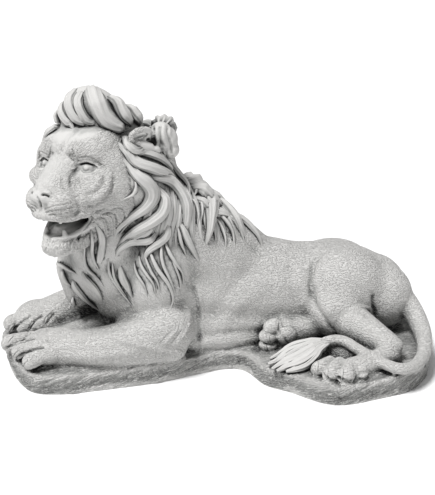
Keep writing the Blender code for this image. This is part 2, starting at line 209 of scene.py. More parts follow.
def head_ball(clay, f, s, u, radii, pitch=0, yaw=0, roll=0):
    """An ellipsoid in the head's frame. Its radii run forward, sideways and up before it is turned."""
    frame = Matrix(head_axes()).transposed()
    ball(clay, head(f, s, u), radii, frame @ turned(roll, pitch, yaw), 3)


def head_pair(clay, f, s, u, radii, pitch=0, yaw=0, roll=0):
    """An ellipsoid and its mirror image on the far side of the head."""
    head_ball(clay, f, s, u, radii, pitch, yaw, roll)
    head_ball(clay, f, -s, u, radii, pitch, -yaw, -roll)


def smooth_path(points, steps):
    """A Catmull-Rom curve through rows of numbers, steps samples a span, the last point included."""
    rows = np.array(points, float)
    rows = np.vstack([2 * rows[0] - rows[1], rows, 2 * rows[-1] - rows[-2]])
    out = []
    for i in range(1, len(rows) - 2):
        p0, p1, p2, p3 = rows[i - 1 : i + 3]
        for t in np.arange(steps) / steps:
            out.append(
                0.5 * (2 * p1 + (p2 - p0) * t + (2 * p0 - 5 * p1 + 4 * p2 - p3) * t**2
                       + (3 * p1 - p0 - 3 * p2 + p3) * t**3)
            )
    out.append(rows[-2])
    return np.array(out)


def loft(clay, centres, sides, ups, widths, heights, around=14):
    """Elliptical rings along centres, closed at both ends. All in metres."""
    angles = 2 * math.pi * np.arange(around) / around
    rings = []
    for c, s, u, w, h in zip(centres, sides, ups, widths, heights):
        rings.append([clay.verts.new(c + s * (w * math.cos(a)) + u * (h * math.sin(a))) for a in angles])
    for a, b in zip(rings, rings[1:]):
        for k in range(around):
            n = (k + 1) % around
            clay.faces.new((a[k], a[n], b[n], b[k]))
    clay.faces.new(list(reversed(rings[0])))
    clay.faces.new(rings[-1])


def limb(clay, stations, steps=6):
    """A limb through stations (x, y, z, half width, half height) of the plan, with domed ends."""
    rows = smooth_path(stations, steps)
    centres = [at(*row[:3]) for row in rows]
    count = len(rows)
    tangents = [(centres[min(i + 1, count - 1)] - centres[max(i - 1, 0)]).normalized() for i in range(count)]
    sides = [t.cross(Vector((0, 0, 1))).normalized() for t in tangents]
    ups = [s.cross(t).normalized() for s, t in zip(sides, tangents)]
    widths = [row[3] * MM for row in rows]
    heights = [row[4] * MM for row in rows]
    for end in (0, -1):
        out = tangents[end] * (-1 if end == 0 else 1)
        reach = (widths[end] + heights[end]) / 2
        side, up, width, height, centre = sides[end], ups[end], widths[end], heights[end], centres[end]
        for angle in DOME_ANGLES:
            share = math.cos(angle)
            row = (centre + out * (reach * math.sin(angle)), side, up, width * share, height * share)
            for store, value in zip((centres, sides, ups, widths, heights), row):
                store.insert(0 if end == 0 else len(store), value)
    loft(clay, centres, sides, ups, widths, heights)


def head_limb(clay, stations, sides=(1, -1)):
    """A limb through stations (f, s, u, half width, half height) of the head, and its mirror image."""
    for side in sides:
        limb(clay, [(*head(f, side * s, u), w, h) for f, s, u, w, h in stations])


def applied(obj):
    """Applies the object's modifiers."""
    graph = bpy.context.evaluated_depsgraph_get()
    mesh = bpy.data.meshes.new_from_object(obj.evaluated_get(graph))
    obj.modifiers.clear()
    old = obj.data
    obj.data = mesh
    bpy.data.meshes.remove(old)


@contextmanager
def clay_of(obj):
    """The object's mesh as clay, put back when the work on it is done."""
    clay = bmesh.new()
    clay.from_mesh(obj.data)
    yield clay
    clay.to_mesh(obj.data)
    clay.free()


def add(obj, clay):
    """Joins closed shapes to an object's mesh."""
    bmesh.ops.recalc_face_normals(clay, faces=clay.faces)
    shapes = bpy.data.meshes.new("shapes")
    clay.to_mesh(shapes)
    clay.free()
    with clay_of(obj) as whole:
        whole.from_mesh(shapes)
    bpy.data.meshes.remove(shapes)


def fuse(obj, voxel, rounds, factor=0.5):
    """One closed skin over all that the object holds, its joins smoothed."""
    remesh = obj.modifiers.new("Remesh", "REMESH")
    remesh.mode = "VOXEL"
    remesh.voxel_size = voxel
    smooth = obj.modifiers.new("Smooth", "SMOOTH")
    smooth.factor = factor
    smooth.iterations = rounds
    applied(obj)


def built_up(obj, shapes, voxel, rounds):
    """Joins the clay of each shape function to the object, and fuses it all."""
    clay = bmesh.new()
    for shape in shapes:
        shape(clay)
    add(obj, clay)
    fuse(obj, voxel, rounds)


def torso(clay):
    limb(clay, [(-120, 5, 136, 84, 90), (-50, 5, 138, 90, 98), (40, 0, 118, 88, 86),
                (120, 0, 106, 82, 84), (190, 0, 102, 78, 82), (260, -2, 96, 74, 78), (300, -5, 90, 62, 66)])
    ball(clay, (-40, 0, 170), (86, 78, 88), turned(y=20))
    # the belly lies on the base
    limb(clay, [(-70, -6, 84, 84, 62), (50, -8, 78, 80, 54), (150, -6, 74, 74, 50)])
    # chest and neck under the mane
    ball(clay, (-162, 2, 195), (86, 84, 92))
    ball(clay, (-178, -22, 240), (66, 66, 84))
    limb(clay, [(-150, -10, 335, 84, 76), (-100, -4, 276, 90, 78), (-34, 0, 206, 84, 72),
                (16, 0, 164, 80, 72)])
    ball(clay, (-132, -12, 340), (64, 86, 80))


def legs(clay):
    # near foreleg, then far foreleg
    ball(clay, (-94, -60, 178), (56, 42, 96), turned(y=10))
    limb(clay, [(-82, -84, 84, 42, 46), (-128, -88, 76, 41, 40), (-170, -88, 68, 40, 34),
                (-215, -82, 64, 38, 31), (-268, -62, 62, 37, 30)])
    ball(clay, (-95, 66, 160), (56, 40, 90))
    limb(clay, [(-90, 74, 82, 40, 42), (-160, 66, 82, 38, 40), (-225, 56, 76, 36, 38),
                (-272, 46, 70, 35, 32)])
    # haunches
    ball(clay, (240, -48, 118), (78, 56, 66), turned(y=30))
    ball(clay, (212, -78, 88), (50, 40, 50), turned(y=40))
    ball(clay, (308, -42, 92), (54, 58, 58))
    ball(clay, (235, 40, 110), (84, 54, 62))
    ball(clay, (298, 36, 86), (54, 54, 52))


def feet(clay):
    ball(clay, (-284, -58, 60), (42, 46, 27))
    ball(clay, (-292, 46, 66), (44, 46, 29))
    # near hind leg: shank from the knee back to the hock, and the foot forward again
    limb(clay, [(226, -94, 78, 34, 34), (252, -136, 66, 28, 30), (274, -176, 58, 23, 25)])
    limb(clay, [(276, -186, 50, 17, 17), (232, -206, 48, 19, 18), (196, -216, 46, 22, 17)])
    # stone left standing under the forelegs, the belly and the tail
    limb(clay, [(-84, -84, 54, 38, 27), (-150, -88, 52, 34, 24), (-212, -80, 51, 33, 22),
                (-268, -66, 50, 33, 20)])
    limb(clay, [(-120, -8, 66, 70, 34), (-190, -10, 58, 56, 26), (-262, -8, 48, 46, 17)])
    limb(clay, [(-70, -44, 54, 44, 28), (20, -50, 52, 42, 26), (88, -48, 50, 36, 24)])
    limb(clay, [(252, -202, 42, 13, 13), (224, -166, 42, 15, 13), (192, -134, 44, 16, 12)])
    ball(clay, (188, -214, 45), (24, 22, 15))
    # far hind leg: its foot comes out under the belly
    limb(clay, [(215, -50, 66, 28, 28), (164, -74, 60, 24, 24), (124, -84, 56, 24, 25)])
    ball(clay, (114, -88, 56), (28, 19, 30))


# The toes on the show sheet: the tip across and down, its height, the way back to the knuckle, and the radius
TOES = (
    # near forefoot
    (9.5, 343, 54, (22, -7), 14.5), (19.5, 350.5, 53, (22, -8), 14), (30.5, 361, 52, (22, -8), 14),
    # far forefoot
    (11.5, 323, 60, (20, -9), 14.5), (24.5, 327, 60, (20, -9), 13.5), (37, 325, 60, (18, -9), 12),
    # near hind foot
    (318, 369, 44, (12, -9), 12.5), (330.5, 374, 45, (9, -12), 14), (346, 376, 45, (5, -13), 14.5),
    (361, 373, 44, (-2, -11), 12),
)


def toes(clay):
    for across, down, z, (back, rise), radius in TOES:
        limb(clay, [(*laid(across, down + 3, z - 10), radius - 3, radius - 4),
                    (*laid(across, down, z), radius, radius),
                    (*laid(across + back * 0.45, down + rise * 0.45, z + 5), radius - 1.5, radius - 2),
                    (*laid(across + back, down + rise, z + 7), radius - 4, radius - 5)], 4)
    # far hind foot
    ball(clay, (94, -94, 76), (17, 14, 13), turned(y=-20))
    ball(clay, (86, -98, 60), (17, 14, 13))
    ball(clay, (86, -98, 43), (17, 13, 12), turned(y=15))
    ball(clay, (116, -106, 62), (18, 9, 16))


def hock(clay):
    ball(clay, (282, -182, 62), (15, 14, 15))


def tail(clay):
    limb(clay, [(312, 0, 110, 24, 24), (344, -56, 88, 20, 20), (351, -124, 62, 17, 17),
                (334, -186, 48, 13, 13), (300, -228, 46, 10.5, 10.5), (266, -236, 50, 10, 10),
                (*laid(371, 357, 56), 10, 10), (*laid(358, 349.5, 61), 10, 10),
                (*laid(346, 342, 64), 10, 10), (*laid(335, 340, 64), 10, 10), (*laid(325, 342, 61), 9, 10)])


def mane_mass(clay):
    """The mass under the locks, over the withers and the chest, and the back behind it."""
    limb(clay, [(*spot(208, 214, 0), 40, 26), (*spot(224, 220, 0), 40, 25), (*spot(240, 231, 0), 38, 24),
                (*spot(256, 243, 0), 34, 22)])
    limb(clay, [(*spot(73, 250, -10), 26, 22), (*spot(71, 268, -6), 27, 24), (*spot(78, 294, 0), 25, 22)])
    limb(clay, [(*spot(256, 250, 0), 44, 26), (*spot(280, 256, 0), 46, 30), (*spot(310, 264, 0), 44, 32)])


def neck_stump(clay):
    """The body's end inside the head."""
    head_ball(clay, -88, 0, -20, (64, 66, 52))
    head_ball(clay, -70, 0, -70, (50, 52, 50))


def skull(clay):
    head_ball(clay, -86, 0, -2, (82, 80, 66))
    head_ball(clay, -30, 0, -34, (52, 58, 58))
    head_ball(clay, -36, 0, 22, (46, 54, 36))
    head_pair(clay, -42, 34, 20, (44, 38, 36))
    head_pair(clay, -24, 44, -42, (44, 34, 40), yaw=14)
    head_pair(clay, -62, 58, -48, (52, 34, 62))
    head_pair(clay, -60, 60, -6, (42, 26, 36))


def nape(clay):
    """The head's end inside the neck."""
    head_ball(clay, -100, 0, -80, (70, 70, 70))


def muzzle(clay):
    # bridge of the nose, from the brow down
    head_limb(clay, [(-28, 0, 7, 30, 24), (1, 0, -3, 26, 20), (40, 0, -24, 24, 17)], (1,))
    head_pair(clay, -14, 24, 8, (20, 18, 14))
    head_pair(clay, 28, 21, -50, (38, 28, 26), yaw=8)
    head_pair(clay, 18, 14, -30, (38, 20, 24), pitch=12)
    head_pair(clay, 2, 34, -52, (34, 24, 28), yaw=12)
    head_pair(clay, -24, 46, -82, (28, 18, 30))
    # lower jaw, chin and throat
    head_limb(clay, [(24, 14, -122, 16, 15), (-14, 32, -112, 18, 19), (-56, 50, -92, 26, 32)])
    head_pair(clay, 8, 14, -122, (34, 20, 19))
    head_ball(clay, 33, 0, -124, (30, 28, 20))
    head_ball(clay, -34, 0, -122, (60, 42, 22), pitch=-8)
    head_ball(clay, -90, 0, -90, (58, 72, 70))


def face(clay):
    """Lips, jaw line, nose pad and tongue, laid on the fused head."""
    for side in (1, -1):
        # upper lip, from under the nose to the corner of the mouth
        head_limb(clay, [(60, 7, -66, 10, 10), (40, 31, -72, 11, 9), (10, 45, -71, 11, 9),
                         (-12, 50, -75, 9, 8)], (side,))
        # lower lip, thin, running up into the corner of the mouth
        head_limb(clay, [(52, 7, -109, 5, 4), (38, 23, -108, 5, 4), (12, 37, -100, 6, 5),
                         (-8, 45, -88, 7, 7), (-20, 52, -76, 8, 8)], (side,))
        # nostril wing
        head_ball(clay, 54, side * 15, -40, (13, 9, 10), yaw=side * 14)
    head_ball(clay, 56, 0, -35, (18, 23, 12), pitch=12)
    head_ball(clay, 57, 0, -50, (9, 14, 12))
    # tongue
    head_ball(clay, 2, 0, -106, (38, 34, 10), pitch=-4)
    head_ball(clay, 0, 0, -99, (38, 17, 8), pitch=-4)


def crest(clay):
    """The swept-up roll of hair over the forehead."""
    head_limb(clay, [(-44, -14, 66, 24, 28), (-58, 8, 80, 30, 35), (-84, 26, 60, 32, 31),
                     (-110, 44, 32, 30, 26)], (1,))


# The rock base in plan, drawn at mid height from the far front corner
BASE_EDGE = [(-357, 70), (-352, 10), (-342, -50), (-318, -104), (-270, -121), (-205, -121),
             (-105, -115), (-50, -102), (10, -92), (45, -104), (66, -160), (100, -192),
             (160, -250), (242, -244), (305, -225), (352, -170), (366, -90), (362, 10),
             (330, 90), (240, 112), (100, 108), (-60, 112), (-200, 114), (-310, 112)]


def base_outline(steps):
    """The base's outline as a smooth closed run, its first point again at its end."""
    return smooth_path(BASE_EDGE + BASE_EDGE[:1], steps)


# The base's rings from below the ground up: height over the ground and inset, in plan millimetres
BASE_RINGS = ((-12, 3), (6, 1), (20, 0), (PLAN_BASE_MM - 5, 1), (PLAN_BASE_MM, 6))


def base(clay):
    """The rock base: a wandering outline with a worn top edge."""
    rows = base_outline(4)[:-1]
    centre = rows.mean(0)
    rings = []
    for z, inset in BASE_RINGS:
        ring = []
        for row in rows:
            out = (row - centre) / np.linalg.norm(row - centre)
            ring.append(clay.verts.new(at(*(row - out * inset), z)))
        rings.append(ring)
    count = len(rows)
    for a, b in zip(rings, rings[1:]):
        for k in range(count):
            n = (k + 1) % count
            clay.faces.new((a[k], a[n], b[n], b[k]))
    clay.faces.new(list(reversed(rings[0])))
    clay.faces.new(rings[-1])


def skin_of(*pieces):
    """A search tree of the surface of one piece, or of several together."""
    clay = bmesh.new()
    for piece in pieces:
        clay.from_mesh(piece.data)
    tree = BVHTree.FromBMesh(clay)
    clay.free()
    return tree


def draped(skin, rays):
    """Points and normals where rays, given in the plan, first meet the skin."""
    points, normals = [], []
    for start, sight in rays:
        start = at(*start)
        point, normal, _, _ = skin.ray_cast(start, sight)
        if point is not None and (not points or (point - points[-1]).length < SKIN_JUMP * MM):
            points.append(point)
            normals.append(normal)
    return points, normals


def smooth_run(rows, rounds):
    """Rows of vectors evened along their run, the ends kept."""
    data = np.array([tuple(row) for row in rows])
    for _ in range(rounds):
        data[1:-1] = 0.5 * data[1:-1] + 0.25 * (data[:-2] + data[2:])
    return [Vector(row) for row in data]


def side_ray(x, z):
    """Line of sight from the hidden side, square on, at a point of the plan's elevation."""
    return Vector((x, SIDE_START, z)), Vector((0, -1, 0))


def top_ray(x, y):
    """Line of sight from above."""
    return Vector((x, y, TOP_START)), Vector((0, 0, -1))


def drop_islands(obj):
    """Leaves only the largest connected surface, so that no sealed bubble stays inside."""
    with clay_of(obj) as clay:
        waiting = set(clay.verts)
        islands = []
        while waiting:
            island = {waiting.pop()}
            edge = list(island)
            while edge:
                edge = {e.other_vert(v) for v in edge for e in v.link_edges} & waiting
                waiting -= edge
                island |= edge
            islands.append(island)
        islands.sort(key=len)
        for island in islands[:-1]:
            bmesh.ops.delete(clay, geom=list(island), context="VERTS")


def flat_cut(obj):
    """Cuts the underside flat at ground level."""
    with clay_of(obj) as clay:
        everything = clay.verts[:] + clay.edges[:] + clay.faces[:]
        cut = bmesh.ops.bisect_plane(clay, geom=everything, dist=CUT_FUZZ, plane_co=(0, 0, 0),
                                     plane_no=(0, 0, 1), clear_inner=True)
        edges = [item for item in cut["geom_cut"] if isinstance(item, bmesh.types.BMEdge)]
        bmesh.ops.triangle_fill(clay, edges=edges, use_beauty=True)
        for vert in clay.verts:
            if vert.co.z < GROUND_FUZZ:
                vert.co.z = 0
        bmesh.ops.triangulate(clay, faces=clay.faces[:])
        bmesh.ops.recalc_face_normals(clay, faces=clay.faces)


def thinned(obj, triangles):
    """Fewer triangles, most of them kept where the form bends. The fused skin's faces have four sides."""
    now = 2 * len(obj.data.polygons)
    thin = obj.modifiers.new("Decimate", "DECIMATE")
    thin.ratio = min(1, triangles / now)
    thin.use_collapse_triangulate = True
    applied(obj)


def empty_piece(name):
    """A new object with an empty mesh, at the origin."""
    obj = bpy.data.objects.new(name, bpy.data.meshes.new(name))
    bpy.context.scene.collection.objects.link(obj)
    return obj


def coordinates(obj, what="co"):
    """Vertex positions or normals as an array."""
    data = np.zeros(len(obj.data.vertices) * 3, np.float32)
    obj.data.vertices.foreach_get(what, data)
    return data.reshape(-1, 3).astype(float)


def moved_to(obj, points):
    """Puts the vertices where the array says."""
    obj.data.vertices.foreach_set("co", points.astype(np.float32).ravel())
    obj.data.update()


def pushed_out(obj, shift):
    """Moves each vertex along its normal, in metres."""
    moved_to(obj, coordinates(obj) + coordinates(obj, "normal") * shift[:, None])


def near_line(points, line, reach):
    """Indices of the points within reach of a line, how close each is (1 on it), and how far along."""
    line = np.array([tuple(p) for p in line], float)
    inside = np.all((points > line.min(0) - reach) & (points < line.max(0) + reach), axis=1)
    index = np.nonzero(inside)[0]
    best = np.full(len(index), 1e9)
    along = np.zeros(len(index))
    here = points[index]
    for k, (a, b) in enumerate(zip(line, line[1:])):
        run = b - a
        t = np.clip(((here - a) @ run) / max(run @ run, 1e-12), 0, 1)
        gap = np.linalg.norm(here - (a + t[:, None] * run), axis=1)
        nearer = gap < best
        best[nearer] = gap[nearer]
        along[nearer] = (k + t[nearer]) / (len(line) - 1)
    close = best < reach
    return index[close], 1 - best[close] / reach, along[close]


def carved(obj, cuts):
    """Moves the skin along its normals near each line: (line, reach, height) in metres, below zero digs."""
    points = coordinates(obj)
    shift = np.zeros(len(points))
    for line, reach, height in cuts:
        if len(line) < 2:
            continue
        index, close, along = near_line(points, line, reach)
        ends = np.clip(4 * np.sin(math.pi * np.clip(along, 0.03, 0.97)), 0, 1)
        shift[index] += height * ends * close * close * (3 - 2 * close)
    pushed_out(obj, shift)


def seen_line(skin, rows, steps=6):
    """The line on the skin that is seen through points of the show sheet."""
    points, _ = draped(skin, [sheet_ray(*row) for row in smooth_path(rows, steps)])
    return smooth_run(points, 2) if len(points) > 2 else points


def crown_ray(f, s):
    """Line of sight down on the head, at a point given forward and left of its middle."""
    return Vector(head(f, s, CROWN_START)), -head_axes()[2]


def hollows(obj, rounds=24):
    """How far each vertex lies below the evened surface round it, in metres, as an array."""
    points = coordinates(obj)
    normals = coordinates(obj, "normal")
    count = len(points)
    edges = np.zeros(len(obj.data.edges) * 2, np.int64)
    obj.data.edges.foreach_get("vertices", edges)
    a, b = edges.reshape(-1, 2).T
    degree = np.bincount(a, minlength=count) + np.bincount(b, minlength=count)
    even = points.copy()
    total = np.zeros(count)
    for k in range(rounds):
        gathered = np.stack([np.bincount(a, even[b, i], count) + np.bincount(b, even[a, i], count)
                             for i in range(3)], axis=1)
        even = 0.3 * even + 0.7 * gathered / np.maximum(degree, 1)[:, None]
        if k in (rounds // 4, rounds - 1):
            total += np.einsum("ij,ij->i", even - points, normals)
    return total


def occlusion_shade(obj, whole):
    """The share of the sky that other stone close by hides, for each vertex, which the material paints as
    shade.
    """
    rays = []
    for k in range(SKY_RAYS):
        height = math.sqrt((k + 0.5) / SKY_RAYS)
        out = math.sqrt(1 - height * height)
        turn = k * SKY_TURN
        rays.append((out * math.cos(turn), out * math.sin(turn), height))
    points = coordinates(obj)
    normals = coordinates(obj, "normal")
    shares = np.zeros(len(points))
    for i, (point, normal) in enumerate(zip(points, normals)):
        up = Vector(normal)
        side = up.orthogonal().normalized()
        ahead = up.cross(side)
        start = Vector(point) + up * MM
        dark = 0
        for a, b, c in rays:
            hit, _, _, gap = whole.ray_cast(start, side * a + ahead * b + up * c, OCCLUSION_REACH)
            if hit is not None:
                dark += 1 - gap / OCCLUSION_REACH * 0.5
        shares[i] = dark / len(rays)
    return shares


def paint(obj, name, values):
    """Stores one number or one vector for each vertex."""
    kind = "FLOAT_VECTOR" if values.ndim == 2 else "FLOAT"
    layer = obj.data.attributes.new(name, kind, "POINT")
    channel = "vector" if values.ndim == 2 else "value"
    layer.data.foreach_set(channel, values.astype(np.float32).ravel())


def in_plan(points):
    """Metres to plan millimetres."""
    out = points / MM
    out[:, 0] += PLAN_MIDDLE[0]
    out[:, 1] += PLAN_MIDDLE[1]
    return out


def plan_of(point):
    """Plan coordinates of one point in metres."""
    return in_plan(np.array([point]))[0]


def soft_step(values, low, high):
    """0 below low, 1 above high, and a smooth rise between."""
    t = np.clip((values - low) / (high - low), 0, 1)
    return t * t * (3 - 2 * t)


def finished_piece(obj, material):
    """Smooth shading, one material, and the rest of what the frame asks of a piece."""
    obj.data.materials.clear()
    obj.data.materials.append(material)
    obj.data.polygons.foreach_set("use_smooth", [True] * len(obj.data.polygons))
    obj.data.update()
    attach(obj, "root")


# Body and base


# Where the claws show, on the show sheet: root, middle and tip
NAILS = (
    # near hind foot
    ((317.3, 363), (317, 368), (317.6, 373)), ((327.3, 369), (327, 374), (327.8, 379)),
    ((342.5, 369.5), (342, 375), (341, 381.5)),
    # far hind foot
    ((268, 335), (268.6, 339), (270, 343.5)), ((265, 344.5), (266, 348), (267.5, 352)),
    # near forefoot
    ((12.5, 336.5), (9.5, 339), (7.5, 343)), ((18, 349.5), (15, 352), (13, 356)),
    ((27.5, 359.5), (24.5, 362), (22.5, 366)),
    # far forefoot
    ((14, 324.5), (11, 327.5), (9, 332)), ((33.5, 322), (31, 325), (29, 330)),
    ((47.5, 317), (46, 320), (44.5, 324)),
)


def claw_rails(skin, half):
    """A curved nail on each toe that shows."""
    rails = []
    for nail in NAILS:
        points, normals = draped(skin, [sheet_ray(*row) for row in smooth_path(list(nail), 5)])
        count = len(points)
        if count < 4:
            continue
        rail = []
        for k, (point, up) in enumerate(zip(points, normals)):
            width = half * min(1, 0.7 + 2 * k / count) * min(1, 0.25 + 1.8 * (1 - k / (count - 1)))
            rail.append((point + up * (0.2 * MM), up, width))
        rails.append(rail)
    return rails


# Folds, tendons and gaps of the body: points on the show sheet, half width and height in mm, below zero dug
BODY_FOLDS = [
    # behind the shoulder and round the elbow
    ([(193, 284), (197, 300), (199.5, 318), (200, 345)], 8, -3.6),
    ([(203, 298), (204.5, 315), (205.5, 334)], 4, -1.4),
    ([(180, 284), (187, 302), (190, 320)], 14, 2),
    ([(176, 345), (182, 338), (187, 330), (190, 322)], 4, 1.6),
    ([(170, 345), (176, 338), (182, 330)], 3, -1.6),
    ([(165, 344), (171, 337), (177, 330)], 4, 1.6),
    ([(160, 344), (166, 337), (172, 331)], 3, -1.4),
    # ribs and flank
    ([(208, 325), (222, 300), (244, 278), (266, 262)], 18, -1.8),
    ([(218, 334), (238, 306), (262, 290)], 18, 1.8),
    ([(290, 264), (291, 276), (294, 292), (298, 306)], 16, -2),
    ([(301, 266), (303, 278), (305, 292), (306, 303)], 9, 1.6),
    # front of the thigh
    ([(322, 254), (313, 266), (311, 286), (316, 306), (327, 323), (338, 336)], 8, -3.4),
    ([(328, 258), (320, 268), (319, 286), (324, 304), (334, 318)], 12, 3),
    # buttock and the tendon that runs to the hock
    ([(373, 294), (374, 312), (381, 325), (393, 329.5), (404, 323), (411, 310)], 7, -5),
    ([(356, 306), (366, 307), (373, 311), (378, 320), (383, 332)], 5, 1.8),
    ([(358, 312), (367, 316), (373, 325)], 7, -1.4),
    # forearm: long muscle and the fold under it
    ([(64, 341), (86, 338), (112, 336), (140, 333)], 11, 2),
    ([(60, 350), (84, 351), (108, 349), (134, 346)], 10, -1.6),
    ([(110, 338), (136, 344), (160, 350), (184, 352)], 7, 2.2),
    # gaps between the toes, and the wrinkles over them
    ([(5, 349), (14, 345), (24, 341), (36, 338)], 4.5, -5),
    ([(13, 359), (24, 354), (34, 349), (46, 347)], 4.5, -5),
    ([(30, 338), (34, 335), (42, 334)], 4, 1.8),
    ([(36, 346), (42, 342), (50, 341)], 4, -2),
    ([(12, 333), (17, 326), (24, 320), (32, 315)], 4, -4),
    ([(28, 333), (31, 326), (37, 319), (44, 315)], 4, -4),
    ([(43, 322), (46, 316), (51, 312)], 3.6, 2),
    ([(47, 324), (51, 318), (55, 313)], 3.6, -2.4),
    # far hind foot
    ([(262, 343), (268, 344.5), (275, 345)], 3, -2.5),
    ([(264, 333), (270, 333.5), (277, 335)], 3, -2.5),
    ([(280, 322), (279, 329), (280, 336)], 3, -2.5),
    ([(285, 337), (288, 343), (296, 347)], 4, -2),
]
# A nail's bed is dug round it
NAIL_BED = (5, -1.2)


def body_carving(skin):
    """The body's cuts as (line, reach, height) in metres."""
    folds = BODY_FOLDS + [(list(nail), *NAIL_BED) for nail in NAILS]
    return [(seen_line(skin, rows), reach * MM, height * MM) for rows, reach, height in folds]


# The worn lip, a shallow channel inside it and the undercut at the ground: inset, height over the ground,
# half width and height of the cut, in plan millimetres
EDGE_RINGS = ((3, PLAN_BASE_MM - 2, 6, 1.4), (15, PLAN_BASE_MM, 9, -1), (2, 12, 9, -0.8))

# The rock's swells in two sizes, in waves a millimetre
WIDE_SWELL = 0.03
NARROW_SWELL = 0.08

# How far the rings wander, and how high swells and strata stand on the edge and on top, in plan millimetres
RING_WANDER = 3
EDGE_SWELL = 2.6
TOP_SWELL = 1.8
EDGE_STRATA = 1.9
TOP_STRATA = 0.7
STRATA_WIDTH = 5
STRATA_LENGTH = 50


def rough_rock(obj):
    """Breaks up the base: low swells on top, and slanting strata chiselled into its worn edge."""
    normals = coordinates(obj, "normal")
    plan = in_plan(coordinates(obj))
    low = 1 - soft_step(plan[:, 2], PLAN_BASE_MM - 1, PLAN_BASE_MM + 6)
    edge = low * soft_step(np.linalg.norm(normals[:, :2], axis=1), 0.3, 0.8) * soft_step(plan[:, 2], -1, 4)
    top = low * soft_step(normals[:, 2], 0.5, 0.9)
    shift = np.zeros(len(plan))
    for i in np.nonzero(edge + top > FAINT)[0]:
        here = Vector(plan[i])
        swell = noise.noise(here * WIDE_SWELL) + 0.5 * noise.noise(here * NARROW_SWELL)
        shift[i] = edge[i] * EDGE_SWELL * swell + top[i] * TOP_SWELL * swell
    pushed_out(obj, shift * MM)
    strokes(obj, rock_lie(obj), EDGE_STRATA * edge + TOP_STRATA * top, STRATA_WIDTH, STRATA_LENGTH, samples=9)
    rows = base_outline(6)
    centre = rows.mean(0)
    inward = centre - rows
    inward /= np.linalg.norm(inward, axis=1)[:, None]
    rings = []
    for inset, z, reach, height in EDGE_RINGS:
        ring = []
        for row, way in zip(rows, inward):
            wander = RING_WANDER * noise.noise((row[0] * WIDE_SWELL, row[1] * WIDE_SWELL, inset))
            ring.append(at(*(row + way * (inset + wander)), z))
        rings.append((ring, reach * MM, height * MM))
    carved(obj, rings)


def rock_lie(obj):
    """Strata run round the base and climb a little."""
    normals = coordinates(obj, "normal")
    aims = np.stack([-normals[:, 1] + 0.3, normals[:, 0] + 0.1, np.full(len(normals), 0.45)], axis=1)
    return lie_of(obj, aims)


def make_body(look):
    """Body, legs, tail and base as one piece, in the CAD solid's place."""
    lion = empty_piece("lion_body")
    built_up(lion, (torso, legs, mane_mass, neck_stump), MASS_VOXEL, 14)
    built_up(lion, (feet, tail, base), FORM_VOXEL, 8)
    built_up(lion, (toes, hock), BODY_VOXEL, 3)
    carved(lion, body_carving(skin_of(lion)))
    rough_rock(lion)
    drop_islands(lion)
    thinned(lion, PIECE_TRIANGLES)
    flat_cut(lion)
    lay_body_coat(lion)
    finished_piece(lion, cast_stone("cast_stone_fur", "fur", look))
    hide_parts("lion")


def lay_body_coat(lion):
    """Strokes of the coat and of the rock, and what the material reads of them."""
    plan = in_plan(coordinates(lion))
    painted_shade = hollows(lion)
    rock = 1 - soft_step(plan[:, 2], PLAN_BASE_MM - 1, PLAN_BASE_MM + 4)
    # the coat lies back and down along the body, and hangs under the mane
    under_mane = soft_step(-plan[:, 0], 20, 70) * soft_step(plan[:, 2], 130, 180)
    aims = np.tile((1.0, 0.0, -0.45), (len(plan), 1)) * (1 - under_mane)[:, None]
    aims += np.array((0.35, 0.0, -1.0)) * under_mane[:, None]
    lie = lie_of(lion, aims)
    lie = np.where(rock[:, None] > 0.5, rock_lie(lion), lie)
    strokes(lion, lie, 1.3 * under_mane, width=4, length=40, samples=7)
    # the streaks of the rock are longer than the strokes of the coat
    paint(lion, "lie", lie * (1 + 2 * rock)[:, None])
    paint(lion, "furred", (1 + 0.3 * rock) * (1 - 0.7 * under_mane))
    side = soft_step(1 - abs(coordinates(lion, "normal")[:, 2]), 0.3, 0.8)
    # the base's top lip, where a highlight is painted
    lip = near_line(coordinates(lion), [at(*row, PLAN_BASE_MM) for row in base_outline(6)], 9 * MM)
    worn_lit = np.zeros(len(plan))
    worn_lit[lip[0]] = lip[1]
    # painted shade in the creases and over the front under the mane; the rock darker all over, with painted
    # shade on its sides, deepest towards the ground, and a painted highlight along its top lip
    paint(lion, "painted_shade", painted_shade / MM * (1 - 0.6 * rock) + under_mane
          + rock * (0.8 + side * (5.6 - 0.07 * plan[:, 2]) - 4.5 * worn_lit))


# Head


# The far half of the face is carved a little wider than the near one at the height of the eyes
FAR_WIDER = 0.15
FAR_FORWARD = 0.07


def far_push(points):
    """How far places at or beside the face's middle move out on the far half, in metres."""
    forward, left, up = (np.array(tuple(axis)) for axis in head_axes())
    own = points - np.array(tuple(at(*HEAD_AT)))
    out = np.abs(own @ left)
    share = 1 - soft_step(own @ forward, 8 * MM, 44 * MM)
    share = share * (1 - soft_step(abs(own @ up + 6 * MM), 14 * MM, 36 * MM))
    return forward * (FAR_FORWARD * share * out)[:, None] - left * (FAR_WIDER * share * out)[:, None]


def mirrored(point):
    """The same place on the other side of the face."""
    left = head_axes()[1]
    out = (Vector(point) - at(*HEAD_AT)).dot(left)
    return Vector(point) - left * (2 * out) + Vector(far_push(np.array([tuple(point)]))[0])


def far_half_widened(obj):
    """Moves the far half of the face out."""
    points = coordinates(obj)
    left = np.array(tuple(head_axes()[1]))
    far = (points - np.array(tuple(at(*HEAD_AT)))) @ left < 0
    moved_to(obj, points + far_push(points) * far[:, None])


def both_sides(skin, rows, steps=6):
    """A line seen on the near half of the face, and its mirror image on the far half."""
    near = seen_line(skin, rows, steps)
    return [near, [skin.find_nearest(mirrored(point))[0] for point in near]]


# How far an eyeball stands out of its socket, and the pupil's radius and depth in it, in mm
EYE_PROUD = 5.5
PUPIL_RADIUS = 6.2
PUPIL_DEPTH = 4


